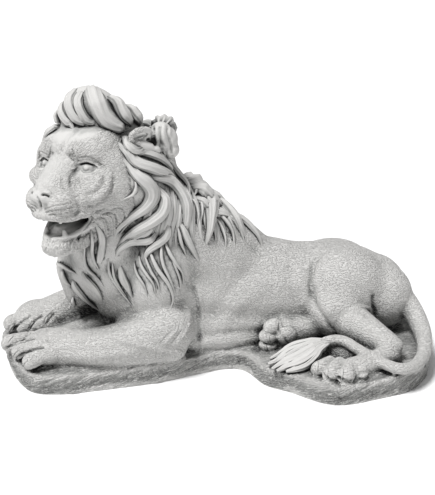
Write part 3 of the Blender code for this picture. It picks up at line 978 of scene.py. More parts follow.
def eyes(obj, radius):
    """Digs the sockets and sets an eyeball in each."""
    skin = skin_of(obj)
    socket = both_sides(skin, [(80, 167), (87, 166), (96, 168)])
    notch = both_sides(skin, [(71, 154), (76, 160), (79, 167)])
    carved(obj, [(line, 15 * MM, -7 * MM) for line in socket] + [(line, 8 * MM, -3 * MM) for line in notch])
    skin = skin_of(obj)
    clay = bmesh.new()
    points, normals = draped(skin, [sheet_ray(87.5, 167.5)])
    centre = points[0] - normals[0] * (radius - EYE_PROUD * MM)
    for place in (centre, mirrored(centre)):
        ball(clay, plan_of(place), (radius / MM,) * 3)
    add(obj, clay)


def thread(clay, points, radius):
    """A thin round cord along the points, fine at both ends."""
    count = len(points)
    if count < 3:
        return
    rows = []
    for k, point in enumerate(points):
        half = radius * (0.55 + 0.45 * math.sin(math.pi * k / (count - 1)))
        rows.append((*plan_of(point), half, half))
    limb(clay, rows, 1)


# Upper lid, lower lid and the inner corner, on the show sheet, each with its radius in mm
LIDS = (([(79, 163.5), (82, 161.5), (87, 160.3), (93, 162.3), (98, 166.6), (103, 168)], 2.9),
        ([(79.5, 170), (83, 173.6), (88, 174.4), (93.5, 172), (98, 168)], 1.7),
        ([(70, 167.5), (73.5, 169.3), (77, 167)], 2.6))


# Lower and upper canines, behind the lips, in the head's own frame
CANINES = ([(38, 20, -106, 5, 5), (39, 19, -98, 3, 3)], [(42, 19, -72, 6, 6), (43, 18, -82, 3, 3)])


def lids(clay, skin):
    """Eyelids, pupils and teeth."""
    for rows, radius in LIDS:
        for line in both_sides(skin, rows, 5):
            thread(clay, line, radius)
    points, normals = draped(skin, [sheet_ray(86, 167.5)])
    centre = points[0] - normals[0] * PUPIL_DEPTH * MM
    for place in (centre, mirrored(centre)):
        ball(clay, plan_of(place), (PUPIL_RADIUS,) * 3)
    for side in (1, -1):
        for canine in CANINES:
            head_limb(clay, canine, (side,))


# Creases, ridges and tufts of the face: points on the show sheet, then half width and height in mm
FACE_LINES = [
    # eye opening under the upper lid, and the corner that runs down beside the nose
    ([(80, 164.6), (84, 163.2), (88, 163), (93, 164.8), (97.5, 168)], 2.4, -2.6),
    ([(79, 166), (75, 172), (71.5, 178), (71.5, 184)], 6.5, -2.6),
    ([(71.5, 180), (73, 189), (77, 199)], 10, -1.4),
    # fold over the lid
    ([(79, 159), (86, 157), (94, 159.5), (101, 165), (106, 168)], 3.4, -1.8),
    # frown over the inner end of the eye
    ([(69, 154), (74, 159), (79, 162)], 5, -2.4),
    ([(72, 149), (74, 154), (76, 159)], 2.4, -1.4),
    ([(77, 149), (77.5, 154), (78, 159)], 2.4, -1.4),
    ([(66, 154), (70, 157), (75, 160.5)], 2.4, -1.4),
    ([(82, 150), (80.5, 155), (79.5, 159)], 2.4, -1.4),
    # dome of the brow
    ([(76, 143), (88, 136), (102, 137), (114, 146)], 15, 2.2),
    # side of the nose and its hollow
    ([(62, 178), (63, 184), (67, 191)], 6, -2),
    # folds round the cheek
    ([(113.5, 174), (114, 183), (111, 192), (104, 200), (95, 205.5), (86, 206.5)], 5.4, -3),
    ([(110, 178), (108, 188), (101, 196), (92, 200.5)], 5, 1.8),
    ([(104.5, 175), (104, 183), (99, 190), (92, 194.5), (85, 193)], 5.4, -1.9),
    ([(100, 176), (97, 184), (90, 188)], 6, 1.6),
    # muzzle's back edge and the rows that the whiskers grow from
    ([(77, 203), (79.5, 207), (78, 212), (74, 215)], 5, -1.8),
    ([(44, 209.5), (54, 206), (64, 204.3), (74, 202.3)], 1.9, -1.3),
    ([(43, 212.5), (54, 210.6), (65, 209.3), (75, 206.6)], 2.1, -1.7),
    ([(47, 215), (57, 214.4), (67, 213), (76.5, 209)], 2.1, -1.7),
    # corner of the mouth and the fold down to the lower lip
    ([(80, 219.5), (87, 218.5), (92, 216), (99, 211.5), (106, 209)], 4, -3),
    ([(92, 218), (87, 225), (82, 233), (77, 240)], 3.2, -2.4),
    # nostril, a comma that runs out to the wing, with its rim
    ([(41.8, 195.4), (43.2, 194), (46.4, 194.6), (50.4, 197)], 4, -6),
    ([(39.5, 192.2), (43, 190), (47.5, 190.7), (51.5, 194.5)], 3.4, 2),
    # whiskered edge of the chin
    ([(77, 239), (84, 236), (90, 232)], 3, -2),
]

# Strands of the knot behind the ear, the groove between the brows and the parting under the nose
NEAR_LINES = [
    ([(160, 125), (159, 132), (160, 142), (163, 153)], 5, -3),
    ([(169, 125), (168, 133), (171, 144), (172, 156)], 5, -3),
    ([(153, 127), (152, 135), (155, 147)], 5, -3),
    ([(164.5, 124), (163, 133), (166, 147)], 5, 2),
    ([(80, 127), (71, 135), (64, 145), (60.5, 154)], 8, -2.2),
    ([(36, 196), (39.5, 201.5), (41, 208)], 3.6, -3),
]


def face_carving(skin):
    """The face's cuts as (line, reach, height) in metres: those of both halves, then those drawn once."""
    pairs = list(FACE_LINES)
    # whiskered edge of the chin, as fluted tufts
    for k in range(7):
        x = 44 + 5.2 * k
        pairs.append(([(x - 1, 239), (x - 3, 244), (x - 4 + 0.9 * k, 252)], 2.2, -1 if k % 2 else 0.9))
    # arcs of hair behind the corner of the mouth
    for k in range(7):
        out = 4.2 * k
        arc = [(91 + out * 0.8, 222 - out * 0.5), (97 + out, 224 - out * 0.6),
               (100 + out, 232 - out * 0.5), (98.5 + out, 243 - out * 0.3)]
        pairs.append((arc, 2.6, 1.8 if k % 2 else -2))
    cuts = []
    for rows, reach, height in pairs:
        cuts += [(line, reach * MM, height * MM) for line in both_sides(skin, rows)]
    for rows, reach, height in NEAR_LINES:
        cuts.append((seen_line(skin, rows), reach * MM, height * MM))
    return cuts


def near_ear(clay):
    """The near ear: a low cup that opens forward, with the knot of hair behind it."""
    limb(clay, [(*spot(131, 141, -86), 4, 5), (*spot(132, 135, -86), 4, 6), (*spot(139, 130.5, -82), 4, 6),
                (*spot(147, 130, -74), 4, 6), (*spot(152, 134, -66), 4, 6)])
    limb(clay, [(*spot(132, 142, -78), 9, 8), (*spot(144, 146, -74), 10, 9), (*spot(156, 150, -68), 8, 8)])
    ball(clay, spot(142, 139, -56), (15, 8, 12))
    for across, down, y, radii in ((161, 134, -44, (19, 24, 20)), (165, 139, -36, (21, 28, 22)),
                                   (169, 149, -40, (17, 24, 15)), (158, 146, -48, (16, 18, 14))):
        ball(clay, spot(across, down, y), radii)
    for k in range(3):
        # a tuft in the ear
        limb(clay, [(*spot(137 + 3 * k, 142 - k, -74), 2.4, 2.4),
                    (*spot(142 + 3 * k, 138 - k, -72), 2.4, 2.4), (*spot(150 + k, 136.5 + k, -62), 2, 2)])


def lie_of(obj, aims):
    """The way the coat lies at each vertex: the aim, laid flat on the skin."""
    normals = coordinates(obj, "normal")
    flat = aims - normals * np.einsum("ij,ij->i", aims, normals)[:, None]
    return flat / np.maximum(np.linalg.norm(flat, axis=1), 1e-6)[:, None]


def strokes(obj, lie, amount, width, length, samples=5):
    """Raises short ridges along the lie. amount is the height at each vertex, all in millimetres."""
    plan = in_plan(coordinates(obj))
    steps = np.linspace(-0.5, 0.5, samples) * length
    shift = np.zeros(len(plan))
    for i in np.nonzero(amount > FAINT)[0]:
        here = Vector(plan[i])
        way = Vector(lie[i])
        total = sum(noise.noise((here + way * step) / width) for step in steps)
        shift[i] = amount[i] * total / samples * STROKE_GAIN
    pushed_out(obj, np.clip(shift, -STROKE_PEAK * amount, STROKE_PEAK * amount) * MM)


def make_head(look):
    """The head as one piece that sits over the body's neck."""
    lion = empty_piece("lion_head")
    built_up(lion, (skull, nape), MASS_VOXEL, 14)
    built_up(lion, (muzzle, crest), FORM_VOXEL, 10)
    far_half_widened(lion)
    built_up(lion, (face, near_ear), FACE_VOXEL, 6)
    eyes(lion, look.eye / 2)
    fuse(lion, HEAD_VOXEL, 4)
    skin = skin_of(lion)
    clay = bmesh.new()
    lids(clay, skin)
    add(lion, clay)
    fuse(lion, HEAD_VOXEL, 2)
    carved(lion, face_carving(skin_of(lion)))
    drop_islands(lion)
    thinned(lion, PIECE_TRIANGLES)
    lay_face_coat(lion)
    finished_piece(lion, cast_stone("cast_stone_face", "fur", look))


def lay_face_coat(lion):
    """Strokes of the face and the beard, and what the material reads of them."""
    points = coordinates(lion)
    forward, left, up = head_axes()
    own = in_plan(points) - np.array(HEAD_AT)
    f, s, u = (own @ np.array(axis) for axis in (forward, left, up))
    nose = np.exp(-(((f - 62) / 14) ** 2 + (s / 22) ** 2 + ((u + 38) / 14) ** 2))
    eyes_near = np.exp(-(((f + 2) / 16) ** 2 + ((abs(s) - 42) / 16) ** 2 + ((u + 3) / 9) ** 2))
    mouth = soft_step(-u, 78, 84) * (1 - soft_step(-u, 106, 110))
    mouth = mouth * (1 - soft_step(abs(s), 40, 50)) * (f > -40)
    hairline = soft_step(u + 0.35 * f, 34, 44)
    knot = np.linalg.norm(in_plan(points) - np.array(tuple(spot(158, 138, -50))), axis=1)
    knot = 1 - soft_step(knot, 42, 54)
    furred = np.clip(1 - nose * 1.6 - eyes_near * 1.6 - mouth - hairline - knot, 0, 1)
    # the coat runs back from the nose on every side
    from_nose = np.stack([f - 60, s, u + 34], axis=1) @ np.array([tuple(forward), tuple(left), tuple(up)])
    lie = lie_of(lion, from_nose)
    bridge = soft_step(abs(s), 12, 26)
    # long tufts on the chin and along the jaw
    beard = soft_step(-u, 106, 116)
    hanging = lie_of(lion, np.tile((-0.1, -0.1, -1.0), (len(points), 1)))
    lie = np.where(beard[:, None] > 0.5, hanging, lie)
    strokes(lion, lie, 1.5 * beard, width=3.6, length=16, samples=7)
    strokes(lion, lie, furred * (0.18 + 0.27 * bridge), width=1.9, length=4)
    paint(lion, "lie", lie)
    paint(lion, "furred", furred * (0.5 + 0.5 * bridge))
    # painted shade in the face's creases, with less of it in the mouth
    paint(lion, "painted_shade", hollows(lion, 30) / MM - 4 * mouth)


# Locks of hair


# Locks drawn on the show sheet, under ones first: the line, the half width in sheet points, and what differs
# from a plain lock. tip and root are the share of the width that is left at an end. ROLL is a roll of the
# crest and BAND a lock of the temple band.
ROLL = {"root": 0.25, "tip": 0.7, "lift": 0.5}
BAND = {"tip": 0.3, "lift": 0.6}
DRAWN_LOCKS = [
    # beard and throat
    ([(57, 262.8), (66, 266), (78.3, 275)], 2.6),
    ([(62.8, 269), (66, 278), (72, 287)], 2.6),
    ([(81.7, 272), (91.7, 282.8), (99.4, 292.8), (103, 304)], 3.6),
    ([(71.7, 280), (80.5, 290.5), (90.5, 302.8), (102, 313)], 4.2),
    ([(72.8, 297), (77.2, 307), (83, 316)], 2.6),
    ([(83.9, 246), (87.2, 266), (97.2, 276), (105, 288)], 2),
    ([(97, 226), (101.7, 239), (101, 252), (98.5, 264)], 3.6, dict(tip=0.7)),
    ([(91, 230), (92, 244), (95, 260), (100, 272)], 2.4),
    ([(108, 259), (109.4, 271.7), (117.2, 285), (127.2, 298), (133.5, 308)], 2),
    ([(112, 262), (113.9, 276), (120.5, 287), (130, 302)], 2),
    ([(119.4, 266), (122.8, 279), (129.4, 289), (133, 302)], 3.8),
    # neck, from the nape to the withers
    ([(211, 199), (220, 204), (229, 212), (238, 224), (246, 236)], 5.5, dict(tip=0.4)),
    ([(226, 212), (240, 219), (251, 229), (259, 239), (264, 250)], 4),
    ([(217.8, 209), (230, 217.8), (238.9, 228), (246.7, 247)], 3),
    ([(215, 213), (225.5, 222), (231, 232), (235, 249)], 2.8),
    ([(212, 216), (219, 226), (224, 238), (226, 250)], 2),
    ([(209, 222), (213, 232), (216, 244)], 1.8),
    ([(190, 198), (195.5, 209), (198, 227)], 2.2),
    ([(197, 200), (200, 208), (200.5, 226)], 2.2),
    ([(199, 192), (206.5, 204), (208, 218), (207.2, 234), (206, 249)], 6,
     dict(tip=0.05, root=0.9, bulge=0.8, lift=0.6)),
    ([(172, 160), (183.3, 167.8), (192, 176), (191, 186)], 6.5, dict(tip=0.5, root=0.8, lift=0.5)),
    ([(191, 184), (194, 190), (193, 198)], 2.4),
    # chest, under the cheek
    ([(161, 240), (161, 254), (163, 266), (168, 277), (173, 290), (173, 300)], 2.5, dict(tip=0.3)),
    ([(150, 250), (154, 261), (161, 273), (168, 284), (172.5, 297), (171, 309)], 2.9, dict(tip=0.2)),
    ([(145, 254), (149, 266), (155, 276), (159, 285), (158.5, 295)], 2.1),
    ([(139, 256), (143, 267), (149, 276), (154.5, 285), (155.5, 300)], 2.2),
    ([(165, 240), (168, 253), (175, 263), (181, 272), (184, 289)], 2.6),
    ([(177, 226), (180.5, 244), (187.2, 258)], 2.4),
    ([(180, 222), (186, 238), (192.8, 250.5), (201, 265)], 3.8),
    ([(168, 250), (174, 266), (179, 280), (181, 298)], 1.8),
    ([(134, 262), (138, 274), (145, 285), (148, 300)], 1.8),
    # temple band and what falls from it
    ([(150, 177), (162, 178), (172, 184), (180, 195), (184.4, 207), (186.5, 218), (185.5, 231)], 5.6,
     dict(tip=0.55)),
    ([(118, 142), (127.5, 155), (140, 164.5), (155, 170), (170, 175.5), (180, 187)], 5.4, BAND),
    ([(120.5, 134), (130, 144.5), (141, 151), (155, 157), (168, 166), (178, 177)], 5, BAND),
    ([(163, 150), (167.8, 162), (176, 173.5), (184.4, 183.5), (188.3, 193.5), (189.4, 208)], 3.6,
     dict(lift=0.7)),
    # cheek
    ([(155, 222), (147, 230), (133, 237), (121, 246), (114, 256)], 4.6),
    ([(157, 233), (150, 238), (138.3, 238.5), (126, 242), (118.3, 250), (116, 261)], 5, dict(lift=0.6)),
    ([(166.7, 222), (166.5, 234), (155, 245.5), (147, 254), (144, 264)], 4.4, dict(lift=0.6)),
    ([(124, 158), (136, 174), (146, 182), (151, 194), (145, 207), (130, 217), (118, 229), (111, 246)], 6.5,
     dict(lift=0.3)),
    ([(126, 158), (136, 172), (148, 180), (155, 190), (155, 201), (147.5, 210), (135, 217),
      (124, 228), (113, 246)], 3, dict(lift=0.9)),
    ([(156, 186), (163, 198), (161, 212), (150, 221.5), (134, 229.5), (122, 241), (115.5, 257)], 5.8,
     dict(lift=0.7)),
    ([(134, 178), (136.5, 187.5), (131.5, 194.5), (121.5, 200.5)], 2.9, dict(tip=0.1, root=0.2, lift=0.6)),
    # small tuft at the far temple
    ([(60, 126), (52, 131), (43, 138)], 3.4, dict(tip=0.2, lift=0.5)),
    # crest: rolls that rise from the hairline and curl over the top
    ([(60.5, 124), (58.6, 117), (58.6, 110)], 2.6, dict(tip=0.7)),
    ([(73, 129), (71, 124), (64.6, 116), (62, 107), (63.6, 99), (67, 93.5)], 4.3, ROLL),
    ([(89, 127), (84.5, 122), (75.5, 115.5), (71.2, 106), (70.8, 97), (75, 89)], 5.2, ROLL),
    ([(99, 127), (94, 122.5), (86, 117.5), (80.5, 109), (78.2, 100), (81, 91.5)], 4.6, ROLL),
    ([(147, 125), (143, 121), (139, 116.5)], 4.4, dict(root=0.3, tip=0.7, lift=0.5)),
    ([(141, 126), (135, 119.5), (129, 112), (124, 105)], 6.4, dict(root=0.3, tip=0.7, lift=0.6)),
    ([(133, 126.5), (126.5, 120), (119.5, 112), (114, 102), (110, 96)], 6.4,
     dict(root=0.25, tip=0.7, lift=0.6)),
    ([(126, 132), (117.5, 127), (104.5, 117), (97.5, 106), (94, 95.5), (92.5, 85)], 8.2,
     dict(root=0.25, tip=0.75, lift=0.7)),
]

# Fans of locks: the first line and the last, how many, the phase of their unevenness, and how high they lie.
# Points are x, z of the plan on the hidden side, f, s of the head on the crown, and x, y on the nape.
SIDE_FANS = [
    ([(-196, 430), (-214, 350), (-206, 290), (-214, 230)], [(-80, 430), (-60, 350), (-26, 290), (16, 236)],
     8, 1, 0.4),
    ([(-205, 310), (-222, 230), (-206, 170), (-196, 130)], [(-40, 330), (-16, 270), (16, 220), (24, 180)],
     9, 4, 0.4),
]
CROWN_FANS = [
    ([(-70, -46), (-88, -56), (-114, -58), (-142, -48)], [(-66, -12), (-90, -12), (-120, -10), (-150, -4)],
     5, 3, 0.1),
]
NAPE_FANS = [
    ([(-116, 30), (-92, 18), (-64, -4), (-40, -20)], [(-160, 70), (-120, 70), (-70, 64), (-30, 56)],
     5, 2, 0.4),
    ([(-30, -38), (-12, -36), (20, -30), (56, -26)], [(-36, 60), (-20, 66), (10, 60), (40, 58)], 6, 5, 0.4),
]
# Low flat strands under the drawn locks, on the show sheet: throat and chest, then neck and shoulder
SHEET_FANS = [
    ([(150, 196), (150, 214), (142, 236), (140, 262)], [(176, 178), (180, 210), (176, 240), (180, 270)],
     6, 1, -0.3),
    ([(184, 182), (190, 206), (192, 232), (198, 256)], [(226, 206), (238, 216), (250, 228), (258, 246)],
     8, 3, -0.3),
]

# A lock whose half width is less than this, in sheet points, is a thin strand
THIN_HALF = 3

# In a fan: how much of its share a lock covers, how unevenly bold the locks are, the most a tip falls short
FAN_COVER = 0.8
FAN_BOLD = 0.28
FAN_SHORT = 0.2


def lock_rail(skin, rays, width, tip=0.1, root=0.5, lift=0.35, bulge=0.0):
    """One lock on the skin, as rows of (point, outward, half width). None where it meets too little skin."""
    points, normals = draped(skin, rays)
    if len(points) < 4:
        return None
    points = smooth_run(points, 4)
    normals = [Vector(n).normalized() for n in smooth_run(normals, 12)]
    count = len(points)
    rail = []
    for i, (point, up) in enumerate(zip(points, normals)):
        t = i / (count - 1)
        tangent = (points[min(i + 1, count - 1)] - points[max(i - 1, 0)]).normalized()
        side = tangent.cross(up).normalized()
        share = min(1, root + 2 * t) * min(1, tip + 1.6 * (1 - t)) ** 0.8
        share *= 1 + bulge * math.exp(-(((t - 0.15) / 0.2) ** 2))
        rise = min(1, 6 * t) * min(1, 3 * (1 - t)) * (lift + 0.4) - 0.4
        rail.append((point + up * (width * rise * MM), side.cross(tangent), width * share * MM))
    return rail


def fan_rails(skin, fans, aim, unit):
    """The locks of each fan, spread from its first line to its last. unit is the size of a point in mm."""
    rails = []
    for first, last, count, phase, lift in fans:
        first = smooth_path(first, 8)
        last = smooth_path(last, 8)
        gap = unit * np.linalg.norm(last - first, axis=1).mean() / (count - 1)
        for k in range(count):
            t = k / (count - 1)
            line = first * (1 - t) + last * t
            keep = len(line) - int((0.5 + 0.5 * math.sin(2.9 * k + phase)) * FAN_SHORT * len(line))
            bold = 1 + FAN_BOLD * math.sin(2.1 * k + phase)
            rays = [aim(*row) for row in line[:keep]]
            rails.append(lock_rail(skin, rays, FAN_COVER * gap * bold, lift=lift))
    return rails


def lock_rails(skin):
    """Every lock of the mane: the broad ones, then the thin ones."""
    broad = (fan_rails(skin, SIDE_FANS, side_ray, 1) + fan_rails(skin, CROWN_FANS, crown_ray, 1)
             + fan_rails(skin, NAPE_FANS, top_ray, 1) + fan_rails(skin, SHEET_FANS, sheet_ray, SHEET_UNIT))
    thin = []
    for rows, half, *differs in DRAWN_LOCKS:
        group, lift, wide = (thin, 1, 0.85) if half < THIN_HALF else (broad, 0.45, 1)
        shape = {"lift": lift, **(differs[0] if differs else {})}
        rays = [sheet_ray(*row) for row in smooth_path(rows, 7)]
        group.append(lock_rail(skin, rays, half * wide * SHEET_UNIT, **shape))
    return [rail for rail in broad if rail], [rail for rail in thin if rail]


# The tuft's strands: across and down on the show sheet, and height over the ground, then half width in mm
TUFT_ROOT = (333, 340.5, 63)
TUFT_STRANDS = [
    ([(318, 341, 62), (306, 343, 60), (294, 346, 56), (282, 353, 49), (270, 359, 43)], 7.5),
    ([(317, 343, 61), (304, 347, 58), (290, 352, 53), (279, 360, 46), (268, 364, 41)], 8),
    ([(318, 345, 60), (307, 351, 56), (294, 358, 50), (283, 363, 44), (272, 369, 40)], 8.5),
    ([(319, 347, 58), (311, 355, 53), (300, 362, 47), (288, 366, 42), (277, 371, 39)], 8.5),
    ([(320, 350, 56), (314, 358, 50), (306, 365, 43), (296, 369, 40), (286, 371.5, 38)], 7.5),
    ([(318, 342, 64), (308, 345, 62), (296, 350, 58), (284, 357, 51), (274, 363, 46)], 4),
]


def tuft_rails():
    """The flame-shaped strands at the tail's end, as seen from the show side, lying on the rock."""
    outward = Vector((-0.15, -0.45, 1)).normalized()
    rails = []
    for rows, half in TUFT_STRANDS:
        points = [at(*row) for row in smooth_path([tuple(laid(*row)) for row in [TUFT_ROOT] + rows], 9)]
        count = len(points)
        rail = []
        for k, point in enumerate(points):
            width = half * MM * min(1, 0.25 + 2.6 * k / count) * min(1, 0.3 + 2.4 * (1 - k / (count - 1)))
            rail.append((point, outward, width))
        rails.append(rail)
    return rails


def rails_object(name, rails):
    """The locks' lines as bare edges, with the half width and the outward direction at each point."""
    clay = bmesh.new()
    for row in rails:
        verts = [clay.verts.new(point) for point, _, _ in row]
        for a, b in zip(verts, verts[1:]):
            clay.edges.new((a, b))
    obj = empty_piece(name)
    clay.to_mesh(obj.data)
    clay.free()
    paint(obj, "outward", np.array([tuple(up) for row in rails for _, up, _ in row]))
    paint(obj, "half_width", np.array([width for row in rails for _, _, width in row]))
    return obj


def node(tree, kind, settings=None, inputs=None):
    """Adds one node with its settings, and its inputs as values or links."""
    made = tree.nodes.new(kind)
    for name, value in (settings or {}).items():
        setattr(made, name, value)
    for name, value in (inputs or {}).items():
        socket = made.inputs[name]
        if isinstance(value, bpy.types.NodeSocket):
            tree.links.new(value, socket)
        else:
            socket.default_value = value
    return made


def lock_tree():
    """Sweeps a lens-shaped section with strand grooves along each line."""
    tree = bpy.data.node_groups.new("Sweep locks", "GeometryNodeTree")
    face = tree.interface
    face.new_socket("Geometry", in_out="INPUT", socket_type="NodeSocketGeometry")
    for name, kind in (("Around", "Int"), ("Strands", "Float"), ("Groove", "Float"), ("Thickness", "Float"),
                       ("Material", "Material")):
        face.new_socket(name, in_out="INPUT", socket_type="NodeSocket" + kind)
    face.new_socket("Geometry", in_out="OUTPUT", socket_type="NodeSocketGeometry")
    given = node(tree, "NodeGroupInput")

    def math_node(operation, a, b=0.0, c=0.0):
        return node(tree, "ShaderNodeMath", {"operation": operation}, {0: a, 1: b, 2: c}).outputs[0]

    def stored(geometry, name, value):
        return node(tree, "GeometryNodeStoreNamedAttribute", {"data_type": "FLOAT", "domain": "POINT"},
                    {"Geometry": geometry, "Name": name, "Value": value}).outputs["Geometry"]

    named = "GeometryNodeInputNamedAttribute"
    outward = node(tree, named, {"data_type": "FLOAT_VECTOR"}, {"Name": "outward"})
    width = node(tree, named, {"data_type": "FLOAT"}, {"Name": "half_width"})
    curve = node(tree, "GeometryNodeMeshToCurve", None, {"Mesh": given.outputs["Geometry"]})
    lying = node(tree, "GeometryNodeSetCurveNormal", {"mode": "FREE"},
                 {"Curve": curve.outputs["Curve"], "Normal": outward.outputs["Attribute"]})
    run = node(tree, "GeometryNodeSplineParameter")
    rail = stored(lying.outputs["Curve"], "run", run.outputs["Length"])
    ring = node(tree, "GeometryNodeCurvePrimitiveCircle", {"mode": "RADIUS"},
                {"Resolution": given.outputs["Around"], "Radius": 1.0})
    place = node(tree, "GeometryNodeInputPosition")
    apart = node(tree, "ShaderNodeSeparateXYZ", None, {0: place.outputs[0]})
    angle = math_node("ARCTAN2", apart.outputs[1], apart.outputs[0])
    wave = math_node("COSINE", math_node("MULTIPLY", angle, given.outputs["Strands"]))
    grow = math_node("MULTIPLY_ADD", wave, given.outputs["Groove"], 1.0)
    wide = math_node("MULTIPLY", apart.outputs[1], grow)
    high = math_node("MULTIPLY", math_node("MULTIPLY", apart.outputs[0], grow), given.outputs["Thickness"])
    moved = node(tree, "ShaderNodeCombineXYZ", None, {0: high, 1: wide})
    section = node(tree, "GeometryNodeSetPosition", None,
                   {"Geometry": ring.outputs["Curve"], "Position": moved.outputs[0]})
    section = stored(section.outputs["Geometry"], "level", apart.outputs[0])
    section = stored(section, "across", apart.outputs[1])
    swept = node(tree, "GeometryNodeCurveToMesh", None,
                 {"Curve": rail, "Profile Curve": section, "Scale": width.outputs["Attribute"],
                  "Fill Caps": True})
    real = node(tree, "GeometryNodeRealizeInstances", None, {"Geometry": swept.outputs["Mesh"]})
    dressed = node(tree, "GeometryNodeSetMaterial", None,
                   {"Geometry": real.outputs["Geometry"], "Material": given.outputs["Material"]})
    node(tree, "NodeGroupOutput", None, {"Geometry": dressed.outputs["Geometry"]})
    return tree


def make_locks(name, rails, sizes, material):
    """Sweeps the rails into one piece of plain mesh. sizes are the node tree's inputs."""
    obj = rails_object(name, rails)
    tree = bpy.data.node_groups.get("Sweep locks") or lock_tree()
    sweep = obj.modifiers.new("Sweep locks", "NODES")
    sweep.node_group = tree
    named = {item.name: item.identifier for item in tree.interface.items_tree if item.in_out == "INPUT"}
    for key, value in (*sizes.items(), ("Material", material)):
        sweep[named[key]] = value
    applied(obj)
    with clay_of(obj) as clay:
        bmesh.ops.triangulate(clay, faces=[face for face in clay.faces if len(face.verts) > 4])
        bmesh.ops.recalc_face_normals(clay, faces=clay.faces)
    finished_piece(obj, material)


# Finish


def linear(code):
    """Linear colour of an sRGB hex code."""
    out = []
    for k in (1, 3, 5):
        value = int(code[k : k + 2], 16) / 255
        out.append(value / 12.92 if value <= 0.04045 else ((value + 0.055) / 1.055) ** 2.4)
    return (*out, 1)


# Cast stone: a matt cement skin with fine grit and random patches of weathering. Its colour also holds
# painted highlights on stroke crests, lock crowns and the base's top lip, and painted shade in cuts, under
# the mane, on the rock's sides and where stone close by hides the sky
# pale end of the colour: random worn patches, and painted highlights on stroke crests, lock crowns and the
# base's top lip
WORN_LIT = "#CDCCCA"
STONE = "#AEAEAC"
# dark end of the colour: painted shade, and dust
DUSTY_SHADE = "#3C3C3C"
# Scales of the patterns, in mm: grit a little coarser than real so that it shows, and patches of weathering
GRIT_MM = 2
PATCH_MM = 70
# Strokes of the coat: their width, and the step by which one noise is smeared along the lie of the coat
STROKE_MM = 1.8
SMEAR_MM = 0.65
# How deep the bumps of the grit and of the coat go, in mm
GRIT_DEPTH_MM = 0.5
COAT_DEPTH_MM = 1.1


def ramp(tree, value, stops):
    """A colour ramp through (place, colour) stops."""
    made = node(tree, "ShaderNodeValToRGB", None, {0: value})
    bar = made.color_ramp
    while len(bar.elements) < len(stops):
        bar.elements.new(0.5)
    for element, (place, colour) in zip(bar.elements, stops):
        element.position = place
        element.color = colour
    return made.outputs[0]


def cast_stone(name, cover, look):
    """Cast stone. cover is fur for the coated skin, hair for the locks."""
    material = bpy.data.materials.new(name)
    material.use_nodes = True
    tree = material.node_tree
    shader = tree.nodes["Principled BSDF"]
    shader.inputs["Roughness"].default_value = 0.8
    shader.inputs["IOR"].default_value = 1.5
    shader.inputs["Specular IOR Level"].default_value = 0.3

    def value_of(attribute, output="Fac"):
        return node(tree, "ShaderNodeAttribute", {"attribute_name": attribute}).outputs[output]

    def sums(operation, a, b=0.0, c=0.0, clamp=False):
        settings = {"operation": operation, "use_clamp": clamp}
        return node(tree, "ShaderNodeMath", settings, {0: a, 1: b, 2: c}).outputs[0]

    def speckle(vector, scale, detail, **more):
        inputs = {"Vector": vector, "Scale": scale, "Detail": detail, **more}
        return node(tree, "ShaderNodeTexNoise", None, inputs).outputs[0]

    place = node(tree, "ShaderNodeTexCoord").outputs["Object"]
    grit = speckle(place, 1 / (GRIT_MM * MM), 3.0, Roughness=0.6)
    patch = speckle(place, 1 / (PATCH_MM * MM), 4.0)
    if cover == "fur":
        lie = value_of("lie", "Vector")
        stroke = 0.0
        for step in (-2, -1, 0, 1, 2):
            beside = node(tree, "ShaderNodeVectorMath", {"operation": "MULTIPLY_ADD"},
                          {0: lie, 1: (SMEAR_MM * step * MM,) * 3, 2: place}).outputs[0]
            stroke = sums("MULTIPLY_ADD", speckle(beside, 1 / (STROKE_MM * MM), 0.0), 0.2, stroke)
        stroke = ramp(tree, stroke, ((0.44, (0, 0, 0, 1)), (0.58, (1, 1, 1, 1))))
        relief = sums("MULTIPLY", stroke, value_of("furred"))
        bite = 0.75
    else:
        across = sums("MULTIPLY", value_of("across"), 3.5)
        run = sums("MULTIPLY", value_of("run"), 0.03 / MM)
        lay = node(tree, "ShaderNodeCombineXYZ", None, {0: across, 1: run, 2: value_of("level")}).outputs[0]
        relief = speckle(lay, 2.0, 2.0)
        bite = 0.45
    # painted shade: darker where stone close by hides the sky, and in the narrow cuts, under the mane and on
    # the rock's sides
    dust = sums("MULTIPLY_ADD", value_of("occlusion_shade"), 1.35, -0.2)
    dust = sums("ADD", dust, sums("MULTIPLY", value_of("painted_shade"), 0.12))
    # the strokes of the coat and the streaks of the locks also tint the colour: painted highlight on their
    # crests and painted shade between them, on top of their bump
    dust = sums("SUBTRACT", dust, sums("MULTIPLY_ADD", relief, bite * 0.5, bite * -0.25))
    if cover == "hair":
        # painted shade on the flanks and underside of a lock, painted highlight along its crown
        dust = sums("ADD", dust, sums("MULTIPLY_ADD", value_of("level"), -0.5, 0.36))
    dust = sums("ADD", dust, sums("MULTIPLY_ADD", patch, 0.3, -0.15), 0.0, True)
    # colour runs from the worn colour and painted highlights, through the stone's own, to the painted shade
    colour = ramp(tree, dust, ((0.0, (*look.worn_lit, 1)), (0.3, (*look.stone, 1)), (1.0, (*look.dusty_shade, 1))))
    tree.links.new(colour, shader.inputs["Base Color"])
    fine = node(tree, "ShaderNodeBump", None,
                {"Strength": look.grain, "Distance": GRIT_DEPTH_MM * MM, "Height": grit}).outputs[0]
    coat = node(tree, "ShaderNodeBump", None, {"Strength": bite * 1.9, "Distance": COAT_DEPTH_MM * MM,
                                               "Height": relief, "Normal": fine}).outputs[0]
    tree.links.new(coat, shader.inputs["Normal"])
    return material


# The floor's half width in metres, how bright the room is, each lamp's name, place, strength and spread in
# degrees, and the width of the camera's film in mm
FLOOR_HALF = 30
ROOM_LIGHT = 0.27
LAMPS = (("key", (-0.8, -0.52, 2.0), 3.45, 16), ("fill", (1.6, -1.8, 1.0), 0.12, 60))
FILM_WIDTH = 36


